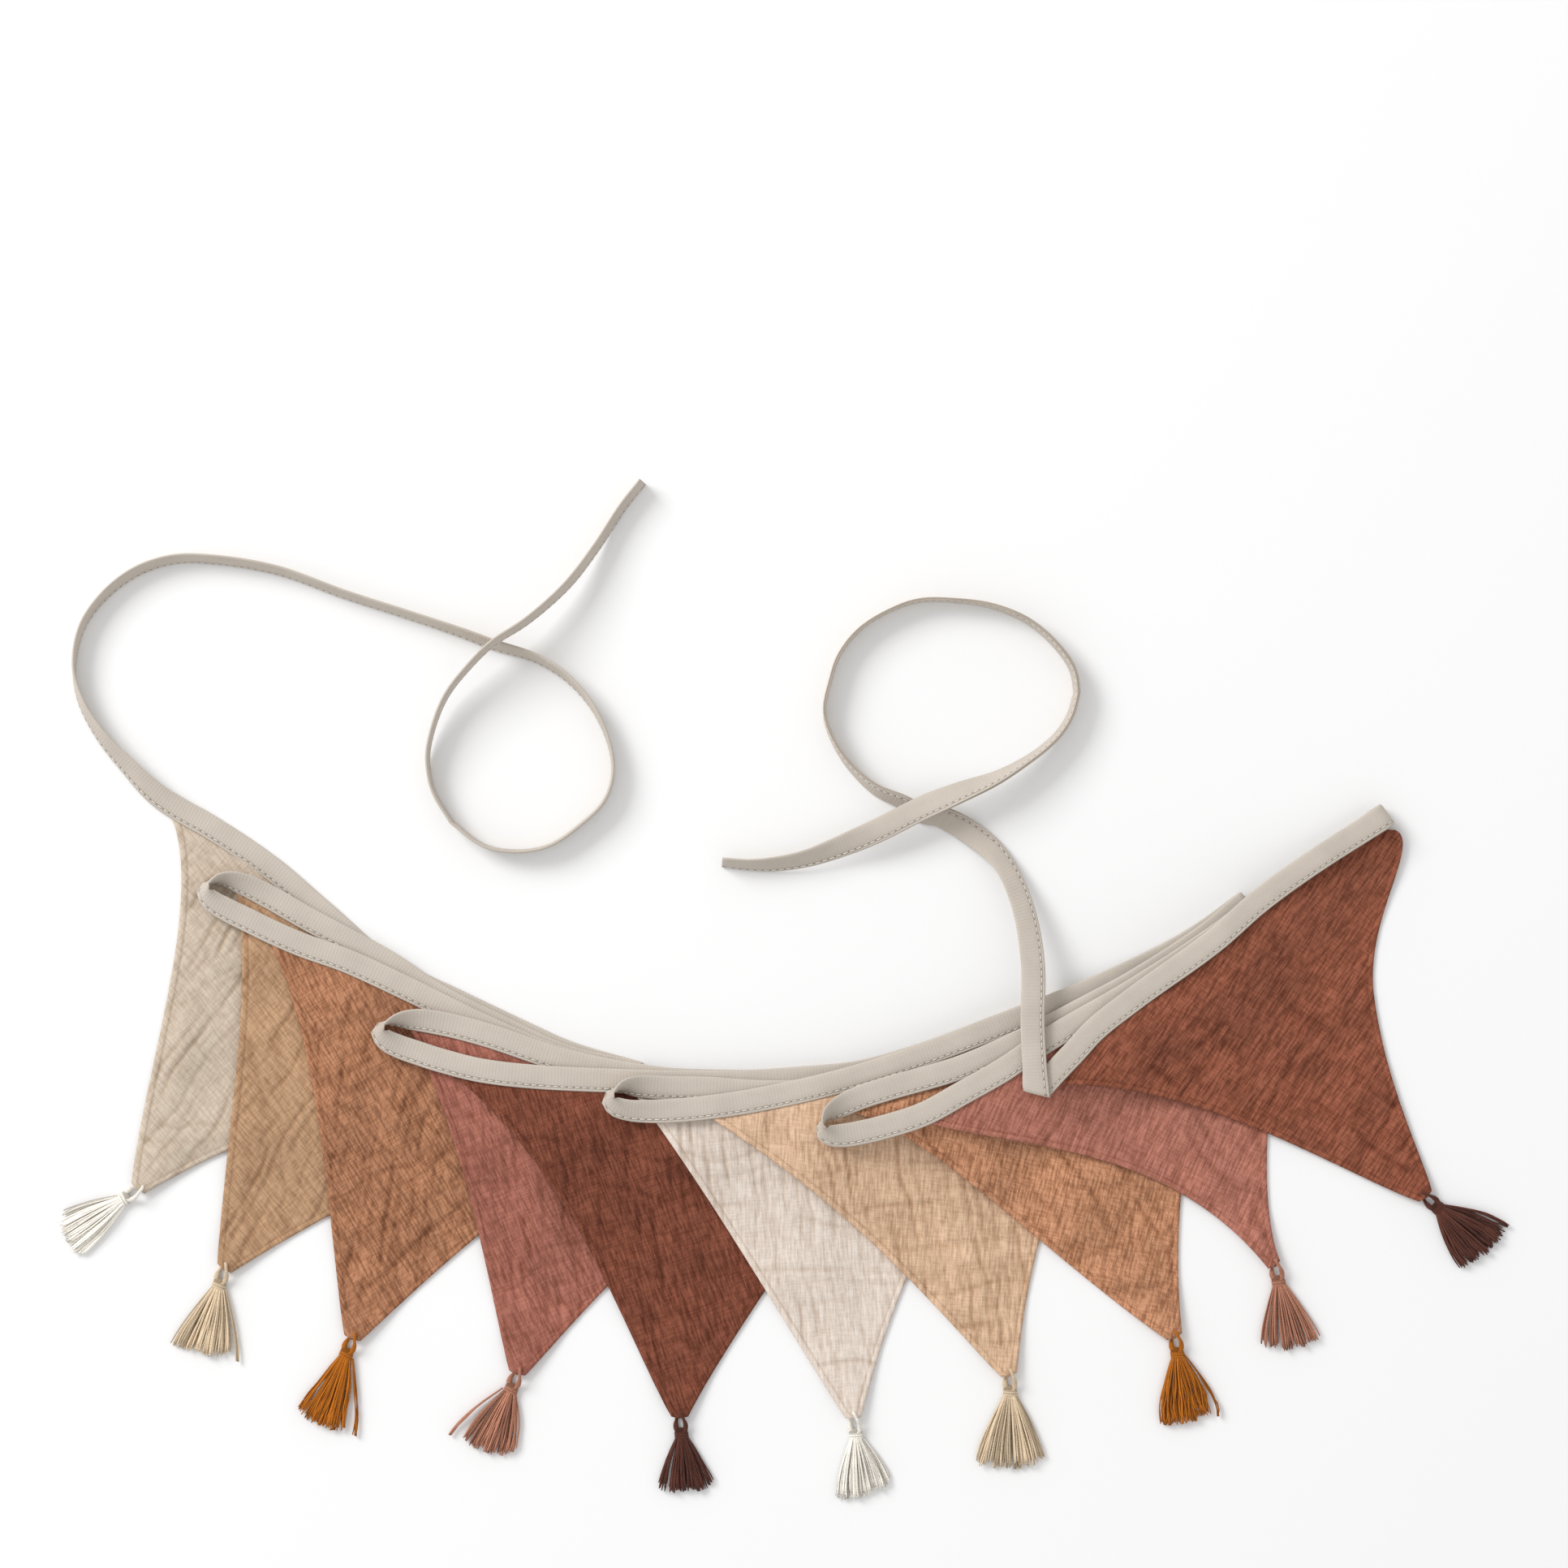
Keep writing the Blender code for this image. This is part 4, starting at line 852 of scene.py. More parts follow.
def seam_points(strand):
    """Where a flag's top edge runs: just off the stitched edge of its strand."""
    middles, across, _ = directions(strand, strand.stops)
    first, last = strand.on_flag
    middles, across = middles[first : last + 1, :2], across[first : last + 1, :2]
    outward = -across / np.linalg.norm(across, axis=1)[:, None]
    edge = middles - across * TAPE_WIDTH / 2 + outward * (FLAG_SEAM_GAP - FLAG_TUCK)
    return edge if edge[0, 0] < edge[-1, 0] else edge[::-1]


def swell(v, peak):
    """A soft swell from 0 over 1, which it reaches at the given share, back to 0."""
    rise = SAG_FULLNESS * peak
    fall = SAG_FULLNESS * (1 - peak)
    return v**rise * (1 - v) ** fall / (peak**rise * (1 - peak) ** fall)


def flag_outline_side(corner, tip, inward, depth, peak, v):
    """Points down one side of a flag, curved inwards most at the given share of its length."""
    return (1 - v) * corner + v * tip + swell(v, peak) * depth * MM * inward


class FlagPlan:
    """A flag from above: u runs from its left side to its right, v from the tape to the blunt tip."""

    OUTLINE_POINTS = 60

    def __init__(self, flag, seam):
        self.flag = flag
        self.first, self.last = seam[0], seam[-1]
        tip = np.array((flag.tip_x, flag.tip_y)) * MM - CENTRE
        axis = (self.first + self.last) / 2 - tip
        normal = np.array((axis[1], -axis[0])) / np.linalg.norm(axis)
        self.tips = (tip - normal * TIP_HALF_WIDTH, tip + normal * TIP_HALF_WIDTH)
        self.marks = np.linspace(0, 1, len(seam))
        self.bow = seam - (self.first + self.marks[:, None] * (self.last - self.first))

    def side(self, v, right):
        """Places down the left or right side."""
        flag = self.flag
        corner, tip = (self.last, self.tips[1]) if right else (self.first, self.tips[0])
        run = tip - corner
        inward = np.array((run[1], -run[0]) if right else (-run[1], run[0])) / np.linalg.norm(run)
        depth, peak = (flag.right_in, flag.right_at) if right else (flag.left_in, flag.left_at)
        places = flag_outline_side(corner, tip, inward, depth, peak, v[..., None])
        if right and flag.bulge:
            bulge = swell(np.minimum(1.0, v / BULGE_REACH), BULGE_PEAK) * flag.bulge * MM
            places = places - bulge[..., None] * inward
        return places

    def at(self, u, v):
        left, right = self.side(v, False), self.side(v, True)
        bend = np.stack([np.interp(u, self.marks, self.bow[:, k]) for k in (0, 1)], axis=-1)
        return left + u[..., None] * (right - left) + bend * ((1 - v) ** 2)[..., None]

    def line(self, which):
        """The left side, the right side or the top edge as a line of points."""
        run = np.linspace(0, 1, self.OUTLINE_POINTS)
        if which == "top":
            return self.at(run, np.zeros(len(run)))
        return self.side(run, which == "right")


def distance_to_line(points, line):
    """How far each point lies from a line of short straight pieces."""
    least = np.full(points.shape[:-1], np.inf)
    for a, b in zip(line[:-1], line[1:]):
        run = b - a
        share = np.clip(((points - a) @ run) / (run @ run), 0, 1)
        least = np.minimum(least, np.linalg.norm(points - (a + share[..., None] * run), axis=-1))
    return least


def solid_heights(node, plan):
    """The solid flag's top on a grid of places, its flat facets smoothed."""
    mesh = node.data
    corners = [vert.co for vert in mesh.vertices]
    tree = BVHTree.FromPolygons(corners, [face.vertices for face in mesh.polygons])
    marks = np.linspace(0, 1, HEIGHT_GRID + 1)
    places = plan.at(*np.meshgrid(marks, marks))
    heights = np.full(places.shape[:2], np.nan)
    for row in range(len(marks)):
        for column in range(len(marks)):
            hit, *_ = tree.ray_cast(Vector((*places[row, column], LOOK_FROM)), DOWN)
            if hit:
                heights[row, column] = hit.z
        known = np.flatnonzero(np.isfinite(heights[row]))
        if len(known):
            heights[row] = np.interp(np.arange(len(marks)), known, heights[row, known])
    known_rows = np.flatnonzero(np.isfinite(heights[:, 0]))
    if len(known_rows) < 2:
        raise RuntimeError(f"{node.name} has no cloth under its outline")
    for column in range(len(marks)):
        heights[:, column] = np.interp(np.arange(len(marks)), known_rows, heights[known_rows, column])
    for _ in range(2):
        heights = softened(softened(heights, 1, axis=0), 2, axis=1)
    return heights


def read_grid(grid, u, v):
    """Values between the places of a square grid, u across and v down."""
    size = len(grid) - 1
    column, row = np.clip(u * size, 0, size - 1e-6), np.clip(v * size, 0, size - 1e-6)
    i, j = column.astype(int), row.astype(int)
    s, t = column - i, row - j
    upper = grid[j, i] * (1 - s) + grid[j, i + 1] * s
    lower = grid[j + 1, i] * (1 - s) + grid[j + 1, i + 1] * s
    return upper * (1 - t) + lower * t


def crinkle_depths(number, places, v):
    """How deep the muslin's crinkles are at each place, in metres, and as a share from 0 to 1 that sets
    the painted shade in their troughs.
    """
    depth = np.zeros(len(places))
    x, y = places[:, 0] / MM, places[:, 1] / MM
    for index, crinkle in enumerate(CRINKLES):
        if crinkle.flag != number:
            continue
        heading = math.radians(crinkle.heading)
        along = x * math.cos(heading) + y * math.sin(heading)
        aside = y * math.cos(heading) - x * math.sin(heading)
        noise = SoftNoise(WANDER_SEED * number + index)
        broad = noise(along / BROAD_WANDER[0], aside / BROAD_WANDER[1])
        close = noise(along / CLOSE_WANDER[0] + CLOSE_APART, aside / CLOSE_WANDER[1])
        position = aside / crinkle.spacing + crinkle.wander * broad
        position += CLOSE_SHARE * crinkle.wander * close
        draws = np.random.default_rng(LINE_SEED * number + index)
        shifts = draws.uniform(-CRINKLE_SHIFT, CRINKLE_SHIFT, CRINKLE_LINES)
        strengths = draws.uniform(*CRINKLE_STRENGTH, CRINKLE_LINES)
        nearest = np.rint(position).astype(int)
        deep = np.zeros(len(places))
        for step in (-1, 0, 1):
            line = (nearest + step) % CRINKLE_LINES
            away = (position - nearest - step - shifts[line]) * crinkle.spacing / crinkle.width
            own = noise(along / CRINKLE_ALIVE + LINES_APART[0] * line, LINES_APART[1] * line)
            deep += strengths[line] * np.clip(0.5 + own, 0, 1) * np.exp(-(away**2))
        below_top = eased((v - crinkle.top) / CRINKLE_FADE + FADE_START)
        above_bottom = eased((crinkle.bottom - v) / CRINKLE_FADE + FADE_START)
        depth += crinkle.depth * deep * below_top * above_bottom
    return depth * MM, np.clip(depth / FULL_CRINKLE, 0, 1)


def build_flag(number, flag, strand, pile):
    """One muslin flag: its solid's lie, with crinkles and turned, stitched edges."""
    settings = bpy.context.scene.bunting
    name = f"flag_{number:02d}_{flag.cloth}"
    plan = FlagPlan(flag, seam_points(strand))
    bm = bmesh.new()
    edge_layer = bm.verts.layers.float.new("edge")
    # How deep each place lies in a crinkle, kept for the painted shade in the troughs.
    crease_painted_shade_layer = bm.verts.layers.float.new("trough")
    bm.faces.new([bm.verts.new(corner) for corner in ((0, 0, 0), (0.5, -1, 0), (1, 0, 0))])
    bmesh.ops.subdivide_edges(bm, edges=bm.edges, cuts=SHEET_ROWS - 1, use_grid_fill=True)
    flat = np.array([vert.co for vert in bm.verts])
    half_row = 0.5 / SHEET_ROWS
    v = np.clip(-flat[:, 1], 0, 1)
    u = np.clip((flat[:, 0] - v / 2) / np.maximum(1 - v, half_row), 0, 1)
    u[v > 1 - half_row] = 0.5
    places = plan.at(u, v)
    left, right, top = (distance_to_line(places, plan.line(which)) for which in ("left", "right", "top"))
    sides = np.minimum(left, right)
    depth, trough = crinkle_depths(number, places, v)
    hem = settings.hem_width
    inside = eased((sides - ROLL_HALF * hem) / HEM_BLEND)
    uneven = SoftNoise(HEM_SEED + number)(*(places / ROLL_SPOTS).T)
    roll = np.clip(1 - ((sides - ROLL_MIDDLE * hem) / (ROLL_HALF * hem)) ** 2, 0, 1)
    groove = np.exp(-(((sides - GROOVE_MIDDLE * hem) / GROOVE_HALF) ** 2))
    broad = SoftNoise(SWELL_SEED + number)(*(places / SWELL_SPOTS).T)
    broad *= eased(sides / SWELL_FROM_SIDE) * eased(top / SWELL_FROM_TOP)
    height = read_grid(solid_heights(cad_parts[name], plan), u, v) - FLAG_THICKNESS / 2
    crinkled = (HEM_CRINKLE + (1 - HEM_CRINKLE) * inside) * eased(top / CRINKLE_FROM_TOP)
    height -= (depth - MEAN_CRINKLE * FULL_CRINKLE * MM) * crinkled
    height += roll * ROLL_HEIGHT * (1 + ROLL_UNEVEN * uneven) - groove * GROOVE_DEPTH
    height += SWELL_HEIGHT * broad
    half = settings.flag_thickness / 2
    places = np.column_stack((places, height))
    under = pile.under(places)
    places[:, 2] = np.maximum(height, np.where(under > 0, under + PILE_GAP, 0.0) + half)
    for vert, place, side, deep in zip(bm.verts, places, sides, trough):
        vert.co = place
        vert[edge_layer] = side
        vert[crease_painted_shade_layer] = deep
    bmesh.ops.smooth_vert(bm, verts=bm.verts, factor=SMOOTHING, use_axis_z=True)
    bmesh.ops.recalc_face_normals(bm, faces=bm.faces)
    if sum(face.normal.z for face in bm.faces) < 0:
        bmesh.ops.reverse_faces(bm, faces=bm.faces)
    obj = finish_piece(bm, f"muslin_{name}", muslin_material(number, flag.cloth), name)
    layers = obj.modifiers.new("two_layers", "SOLIDIFY")
    layers.thickness = settings.flag_thickness
    layers.offset = 0.0
    pile.add(places + (0, 0, half))
    return obj


# Tassels


class TasselFrame:
    """Places on one tassel: along its heading from the flag's tip, to its left, and up."""

    def __init__(self, flag, tassel):
        heading = math.radians(tassel.heading)
        self.tip = np.array((flag.tip_x, flag.tip_y)) * MM - CENTRE
        self.along = np.array((math.cos(heading), math.sin(heading)))
        self.left = np.array((-self.along[1], self.along[0]))

    def place(self, along, left, up):
        return np.array((*(self.tip + self.along * along + self.left * left), up))


def smooth_path(points, count):
    """Evenly read points of a smooth curve through the given ones."""
    points = np.array(points, dtype=float)
    before = np.vstack((2 * points[0] - points[1], points[:-1]))
    after = np.vstack((points[1:], 2 * points[-1] - points[-2]))
    slope = (after - before) / 2
    found = []
    for t in np.linspace(0, len(points) - 1, count):
        k = min(int(t), len(points) - 2)
        found.append(curve_between(t - k, points[k], slope[k], points[k + 1], slope[k + 1]))
    return np.array(found)


def thread_rings(path, radii, sides, twist=0.0):
    """Round sections along a path, each turned a twist further than the one before it."""
    path = np.asarray(path)
    travel = np.gradient(path, axis=0)
    travel /= np.linalg.norm(travel, axis=1)[:, None]
    aside = np.cross(travel[0], (0.0, 0.0, 1.0))
    if np.linalg.norm(aside) < 0.1:
        aside = np.cross(travel[0], (0.0, 1.0, 0.0))
    rings = []
    for place, ahead, radius in zip(path, travel, np.broadcast_to(radii, len(path))):
        aside = aside - ahead * np.dot(aside, ahead)
        aside /= np.linalg.norm(aside)
        other = np.cross(ahead, aside)
        turn = twist * len(rings)
        ring = []
        for side in range(sides):
            angle = 2 * math.pi * side / sides + turn
            ring.append(place + radius * (math.cos(angle) * aside + math.sin(angle) * other))
        rings.append(ring)
    return rings


def add_thread(bm, path, radii, sides, tint, twist=0.0):
    """One closed thread along a path; its tint and the length along it go to the material."""
    along_layer = bm.verts.layers.float.get("along")
    tint_layer = bm.verts.layers.float.get("tint")
    rings = thread_rings(path, radii, sides, twist)
    run = distances(path)
    face = first = bm.faces.new([bm.verts.new(corner) for corner in rings[0]])
    made = [list(face.verts)]
    for ring in rings[1:]:
        face = extrude_through(bm, face, [ring])
        made.append(list(face.verts))
    for distance, verts in zip(run, made):
        for vert in verts:
            vert[along_layer] = distance
            vert[tint_layer] = tint
    if not first.is_valid:
        bm.faces.new(reversed(made[0]))


def add_neck(bm, tassel_frame):
    """The waist of the tassel: a rounded core and the turns of yarn bound round it."""
    middle = NECK_HEIGHT / 2
    start, end = LOOP_LENGTH - CORE_BEFORE, LOOP_LENGTH + NECK_LENGTH + CORE_AFTER
    rings = []
    for along, size in zip(np.linspace(start, end, len(CORE_SIZES)), CORE_SIZES):
        ring = []
        for angle in np.arange(CORE_SIDES) * 2 * math.pi / CORE_SIDES:
            left = math.cos(angle) * size * NECK_WIDTH / 2
            up = middle + math.sin(angle) * size * NECK_HEIGHT / 2
            ring.append(tassel_frame.place(along, left, up))
        rings.append(ring)
    face = bm.faces.new([bm.verts.new(corner) for corner in rings[0]])
    extrude_through(bm, face, rings[1:])
    half_width = BOUND_SIZE * NECK_WIDTH / 2 + BOUND_SUNK * BOUND_RADIUS
    half_height = BOUND_SIZE * NECK_HEIGHT / 2 + BOUND_SUNK * BOUND_RADIUS
    for turn in range(BOUND_TURNS):
        path = []
        for share in np.arange(BOUND_STEPS + 1) / BOUND_STEPS:
            angle = 2 * math.pi * share
            along = BOUND_START + (turn + share) * BOUND_PITCH + BOUND_SLANT * math.cos(angle)
            left, up = math.cos(angle) * half_width, middle + math.sin(angle) * half_height
            path.append(tassel_frame.place(along, left, up))
        add_thread(bm, path, BOUND_RADIUS, BOUND_SIDES, 0.3 + 0.4 * (turn % 2))


def hanging_loop(tassel_frame, over, radius):
    """The yarn ring that joins the tassel to the flag: thin where it passes the tip, thick beside it."""
    upper, lower = NECK_HEIGHT / 2 + ROOT_ABOVE, NECK_HEIGHT / 2 - ROOT_BELOW
    halfway = (NECK_HEIGHT / 2 + over) / 2
    floor = 1.02 * RING_SWELL * radius
    wide = LOOP_WIDE * LOOP_HALF_WIDTH
    root = LOOP_LENGTH + LOOP_IN_NECK
    stops = (
        (root, 0.30 * wide, upper, RING_SWELL),
        (0.86 * LOOP_LENGTH, 0.92 * wide, upper, RING_SWELL),
        (0.50 * LOOP_LENGTH, 0.98 * wide, halfway, 1.50),
        (0.16 * LOOP_LENGTH, 0.80 * wide, over, 1.00),
        (-0.2 * STITCH_INSET, 0.55 * wide, over, 1.00),
        (-0.85 * STITCH_INSET, 0.25 * wide, over, 1.00),
        (-0.98 * STITCH_INSET, 0.0, (over + radius) / 2, 1.00),
        (-0.85 * STITCH_INSET, -0.25 * wide, radius, 1.00),
        (-0.2 * STITCH_INSET, -0.55 * wide, radius, 1.00),
        (0.16 * LOOP_LENGTH, -0.80 * wide, radius, 1.00),
        (0.50 * LOOP_LENGTH, -0.98 * wide, floor, 1.50),
        (0.86 * LOOP_LENGTH, -0.92 * wide, lower, RING_SWELL),
        (root, -0.30 * wide, lower, RING_SWELL),
    )
    path = smooth_path([tassel_frame.place(*stop[:3]) for stop in stops], LOOP_PLACES)
    run = np.linspace(0, len(stops) - 1, LOOP_PLACES)
    return path, radius * np.interp(run, np.arange(len(stops)), [stop[3] for stop in stops])


def strand_path(tassel_frame, tassel, thick, fan, lift, length, sway, phase):
    """One strand from the neck to its end: how far aside and how high it lies, how long and how wavy."""
    start, end = LOOP_LENGTH + NECK_LENGTH - NECK_OVERLAP, tassel.reach * MM * length
    root = NECK_HEIGHT / 2 + lift * NECK_SHARE * NECK_HEIGHT
    rest = thick + (lift + 1) / 2 * SKIRT_DEPTH
    rate = WAVE_RATE + CURL_RATE * tassel.curl
    narrow = NECK_SHARE * NECK_WIDTH
    path = []
    for t in np.linspace(0, 1, STRAND_PLACES):
        opened = (1 - tassel.belly) * t + tassel.belly * math.sin(math.pi * min(1.0, OPEN_RATE * t))
        half = narrow + (tassel.spread * MM - narrow) * opened
        left = fan * half + sway * t * math.sin(phase + rate * t)
        belly = BELLY_HEIGHT * max(lift, 0) * math.sin(math.pi * min(1.0, BELLY_RATE * t))
        rise = RISE_SHARE * tassel.curl * MM * math.sin(RISE_PHASE * phase + RISE_RATE * rate * t) * t
        up = root + (rest - root) * eased(DROP_RATE * t) + belly + rise
        path.append(tassel_frame.place(start + (end - start) * t, left, max(up, thick)))
    return path


def build_tassel(number, flag, tassel):
    """One tassel: its loop through the flag's tip, its bound neck and its skirt of threads."""
    settings = bpy.context.scene.bunting
    tassel_frame = TasselFrame(flag, tassel)
    node = f"tassel_{number:02d}_{tassel.yarn}"
    _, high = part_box(node)
    draws = np.random.default_rng(TASSEL_SEED + number)
    bm = bmesh.new()
    bm.verts.layers.float.new("along")
    bm.verts.layers.float.new("tint")
    radius = settings.loop_thickness / 2
    over = max(high[2] - radius, NECK_HEIGHT / 2 + radius)
    path, radii = hanging_loop(tassel_frame, over, radius)
    add_thread(bm, path, radii, LOOP_SIDES, 0.5)
    add_neck(bm, tassel_frame)
    thick = settings.strand_thickness / 2
    radii = thick * np.array([STRAND_SIZE] * (STRAND_PLACES - 1) + [STRAND_END_SIZE])
    count = settings.strands_per_tassel
    tufts = draws.uniform(-1, 1, (TUFT_DRAWS, 4))
    for index in range(count):
        out = math.sqrt((index + 0.5) / count)
        share, lift = math.cos(index * GOLDEN_ANGLE) * out, math.sin(index * GOLDEN_ANGLE) * out
        tuft = int((share + 1) / 2 * tassel.tufts)
        pull, tuft_sway, tuft_reach, tuft_tint = tufts[tuft + UPPER_TUFTS * int(lift > 0)]
        heart = (tuft + 0.5) / tassel.tufts * 2 - 1
        gathered = share + GATHERING * (heart - share) + TUFT_PULL * pull
        fan = FAN_WIDTH * gathered + FAN_UNEVEN * draws.uniform(-1, 1)
        uneven = UNEVEN_ENDS * (tuft_reach + draws.uniform(-1, 1))
        length = min(LONGEST, 1 - OUTER_SHORTER * fan * fan + tassel.slant * fan + uneven)
        if tassel.stray and index % STRAY_EVERY == STRAY_FIRST:
            fan = tassel.stray * (STRAY_WIDTH + STRAY_UNEVEN * draws.uniform(-1, 1))
            length = 1.0
        sway = (TUFT_SWAY * tuft_sway + OWN_SWAY * draws.uniform(-1, 1)) * tassel.curl * MM
        phase = draws.uniform(0, 2 * math.pi)
        path = strand_path(tassel_frame, tassel, thick, fan, lift, length, sway, phase)
        # A strand's tint: its own uneven tone, and painted light and shade by how high it lies.
        tint = 0.5 + TUFT_TINT * tuft_tint + OWN_TINT * draws.uniform(-1, 1) + PAINTED_HEIGHT_LIGHT * lift
        add_thread(bm, path, radii, STRAND_SIDES, min(1.0, max(0.0, tint)), STRAND_TWIST)
    close_holes(bm)
    bmesh.ops.recalc_face_normals(bm, faces=bm.faces)
    return finish_piece(bm, f"yarn_{node}", yarn_material(tassel.yarn), node)


# Finishes


def add_node(tree, kind, **values):
    """A new node, placed after the ones before it, row by row."""
    row, column = divmod(len(tree.nodes), NODES_PER_ROW)
    node = tree.nodes.new(kind)
    node.location = (column * NODE_SPACING, -row * NODE_SPACING)
    for name, value in values.items():
        setattr(node, name, value)
    return node


def new_material(name, roughness, shine, sheen):
    """A plain material, its node tree and its shader."""
    material = bpy.data.materials.new(name)
    material.use_nodes = True
    shader = material.node_tree.nodes["Principled BSDF"]
    shader.location = SHADER_PLACE
    shader.inputs["Roughness"].default_value = roughness
    shader.inputs["Specular IOR Level"].default_value = shine
    shader.inputs["Sheen Weight"].default_value = sheen
    return material, material.node_tree, shader


def object_place(tree):
    return add_node(tree, "ShaderNodeTexCoord").outputs["Object"]


def attribute_value(tree, name, factor=1.0):
    """An attribute of the mesh, times a factor."""
    value = add_node(tree, "ShaderNodeAttribute", attribute_name=name).outputs["Fac"]
    scaled = add_node(tree, "ShaderNodeMath", operation="MULTIPLY")
    scaled.inputs[1].default_value = factor
    tree.links.new(value, scaled.inputs[0])
    return scaled.outputs[0]


def waves(tree, period):
    """A wave that repeats along the mesh's own length."""
    wave = add_node(tree, "ShaderNodeMath", operation="SINE")
    tree.links.new(attribute_value(tree, "along", 2 * math.pi / period), wave.inputs[0])
    return wave.outputs[0]


def mix_colours(tree, amount, first, second, blend="MIX"):
    """Mixes two colours, each a socket or a plain colour, by a socket or a plain amount."""
    mix = add_node(tree, "ShaderNodeMix", data_type="RGBA", blend_type=blend)
    for socket, value in ((mix.inputs[0], amount), (mix.inputs[6], first), (mix.inputs[7], second)):
        if isinstance(value, bpy.types.NodeSocket):
            tree.links.new(value, socket)
        elif isinstance(value, (int, float)):
            socket.default_value = value
        else:
            socket.default_value = (*value[:3], 1.0)
    return mix.outputs[2]


def dimmed(tree, where, base, shade):
    """A colour, times a shade as far as a value goes from 0 to 1."""
    return mix_colours(tree, where, base, mix_colours(tree, 1.0, base, shade, "MULTIPLY"))


def ramp(tree, value, stops):
    """A grey ramp through (place, brightness) stops."""
    node = add_node(tree, "ShaderNodeValToRGB")
    elements = node.color_ramp.elements
    while len(elements) < len(stops):
        elements.new(0.5)
    for element, (place, bright) in zip(elements, stops):
        element.position = place
        element.color = (bright, bright, bright, 1.0)
    tree.links.new(value, node.inputs["Fac"])
    return node.outputs["Color"]


def noise_value(tree, place, scale, detail=2.0):
    """An uneven value from 0 to 1, with about this many spots per metre."""
    noise = add_node(tree, "ShaderNodeTexNoise")
    noise.inputs["Scale"].default_value = scale
    noise.inputs["Detail"].default_value = detail
    tree.links.new(place, noise.inputs["Vector"])
    return noise.outputs["Fac"]


def threads(tree, place, heading, lines):
    """Uneven threads that run one way: a noise drawn out along them. Returns a value from 0 to 1."""
    turned = add_node(tree, "ShaderNodeMapping")
    turned.inputs["Rotation"].default_value = (0.0, 0.0, -math.radians(heading + lines.turn))
    drawn = add_node(tree, "ShaderNodeMapping")
    drawn.inputs["Scale"].default_value = (1 / lines.stretch, 1.0, THREAD_DEPTH_SCALE)
    tree.links.new(place, turned.inputs["Vector"])
    tree.links.new(turned.outputs["Vector"], drawn.inputs["Vector"])
    return noise_value(tree, drawn.outputs["Vector"], 1 / lines.period)


def bump(tree, height, strength, distance, normal=None):
    node = add_node(tree, "ShaderNodeBump")
    node.inputs["Strength"].default_value = strength
    node.inputs["Distance"].default_value = distance
    tree.links.new(height, node.inputs["Height"])
    if normal:
        tree.links.new(normal, node.inputs["Normal"])
    return node.outputs["Normal"]


def finish_shader(tree, shader, colour, normal=None):
    tree.links.new(colour, shader.inputs["Base Color"])
    if normal:
        tree.links.new(normal, shader.inputs["Normal"])


def colour_of(name):
    return tuple(getattr(bpy.context.scene.bunting, f"{name}_colour"))


def shaded(colour, factor, warmth=1.0):
    """A darker or lighter shade of a colour; warmth under 1 takes blue away first."""
    red, green, blue = colour
    return (red * factor, green * factor * (0.5 + 0.5 * warmth), blue * factor * warmth)


def stronger(shade, contrast):
    """A shade below white, taken further from white."""
    return tuple(part**contrast for part in shade)


def muslin_material(number, cloth):
    """Double muslin: fine uneven threads both ways, painted shade in its creases and in the hollows of
    its puckers, a rolled hem, and painted shade along the groove of its seam.
    """
    contrast = CLOTH_CONTRAST[cloth]
    material, tree, shader = new_material(f"muslin_{number:02d}_{cloth}", *MUSLIN_SURFACE)
    # The cloth's colour times its flag's tones, which are partly painted light and shade.
    colour = tuple(part * tone for part, tone in zip(colour_of(cloth), FLAG_TONES_AND_PAINTED_LIGHT[number - 1]))
    place = object_place(tree)
    low, high = (shaded(colour, 1 + contrast * change) for change in CLOUD_CHANGE)
    clouds = ramp(tree, noise_value(tree, place, MUSLIN_CLOUDS, FINE_DETAIL), CLOUD_STOPS)
    base = mix_colours(tree, clouds, low, high)
    woven = [threads(tree, place, WEAVE_HEADINGS[number - 1], lines) for lines in MUSLIN_THREADS]
    for value, lines in zip(woven, MUSLIN_THREADS):
        base = dimmed(tree, ramp(tree, value, GAP_STOPS), base, stronger(lines.gap, contrast))
    crease_heading = next(crinkle.heading for crinkle in CRINKLES if crinkle.flag == number)
    puckers = threads(tree, place, crease_heading, PUCKERS)
    # Painted shade in the hollows of the puckers.
    base = dimmed(tree, ramp(tree, puckers, PUCKER_STOPS), base, stronger(PUCKERS.gap, contrast))
    # Painted shade: the cloth is darkened in the troughs of its crinkles, as far as they are deep.
    creases = attribute_value(tree, "trough")
    base = dimmed(tree, creases, base, stronger(PAINTED_CREASE_SHADE, (1 + contrast) / 2))
    edge = attribute_value(tree, "edge", 1 / HEM_RAMP)
    hem = bpy.context.scene.bunting.hem_width / HEM_RAMP
    # The hem's tone, then painted shade along the groove of its seam.
    for stops, shade in ((HEM_STOPS, HEM_PALER), (SEAM_STOPS, PAINTED_SEAM_SHADE)):
        band = ramp(tree, edge, [(hem * share, bright) for share, bright in stops])
        base = dimmed(tree, band, base, shade)
    weave = bump(tree, mix_colours(tree, WEFT_SHARE, *woven), *WEAVE_RELIEF)
    finish_shader(tree, shader, base, bump(tree, puckers, *PUCKER_RELIEF, weave))
    return material


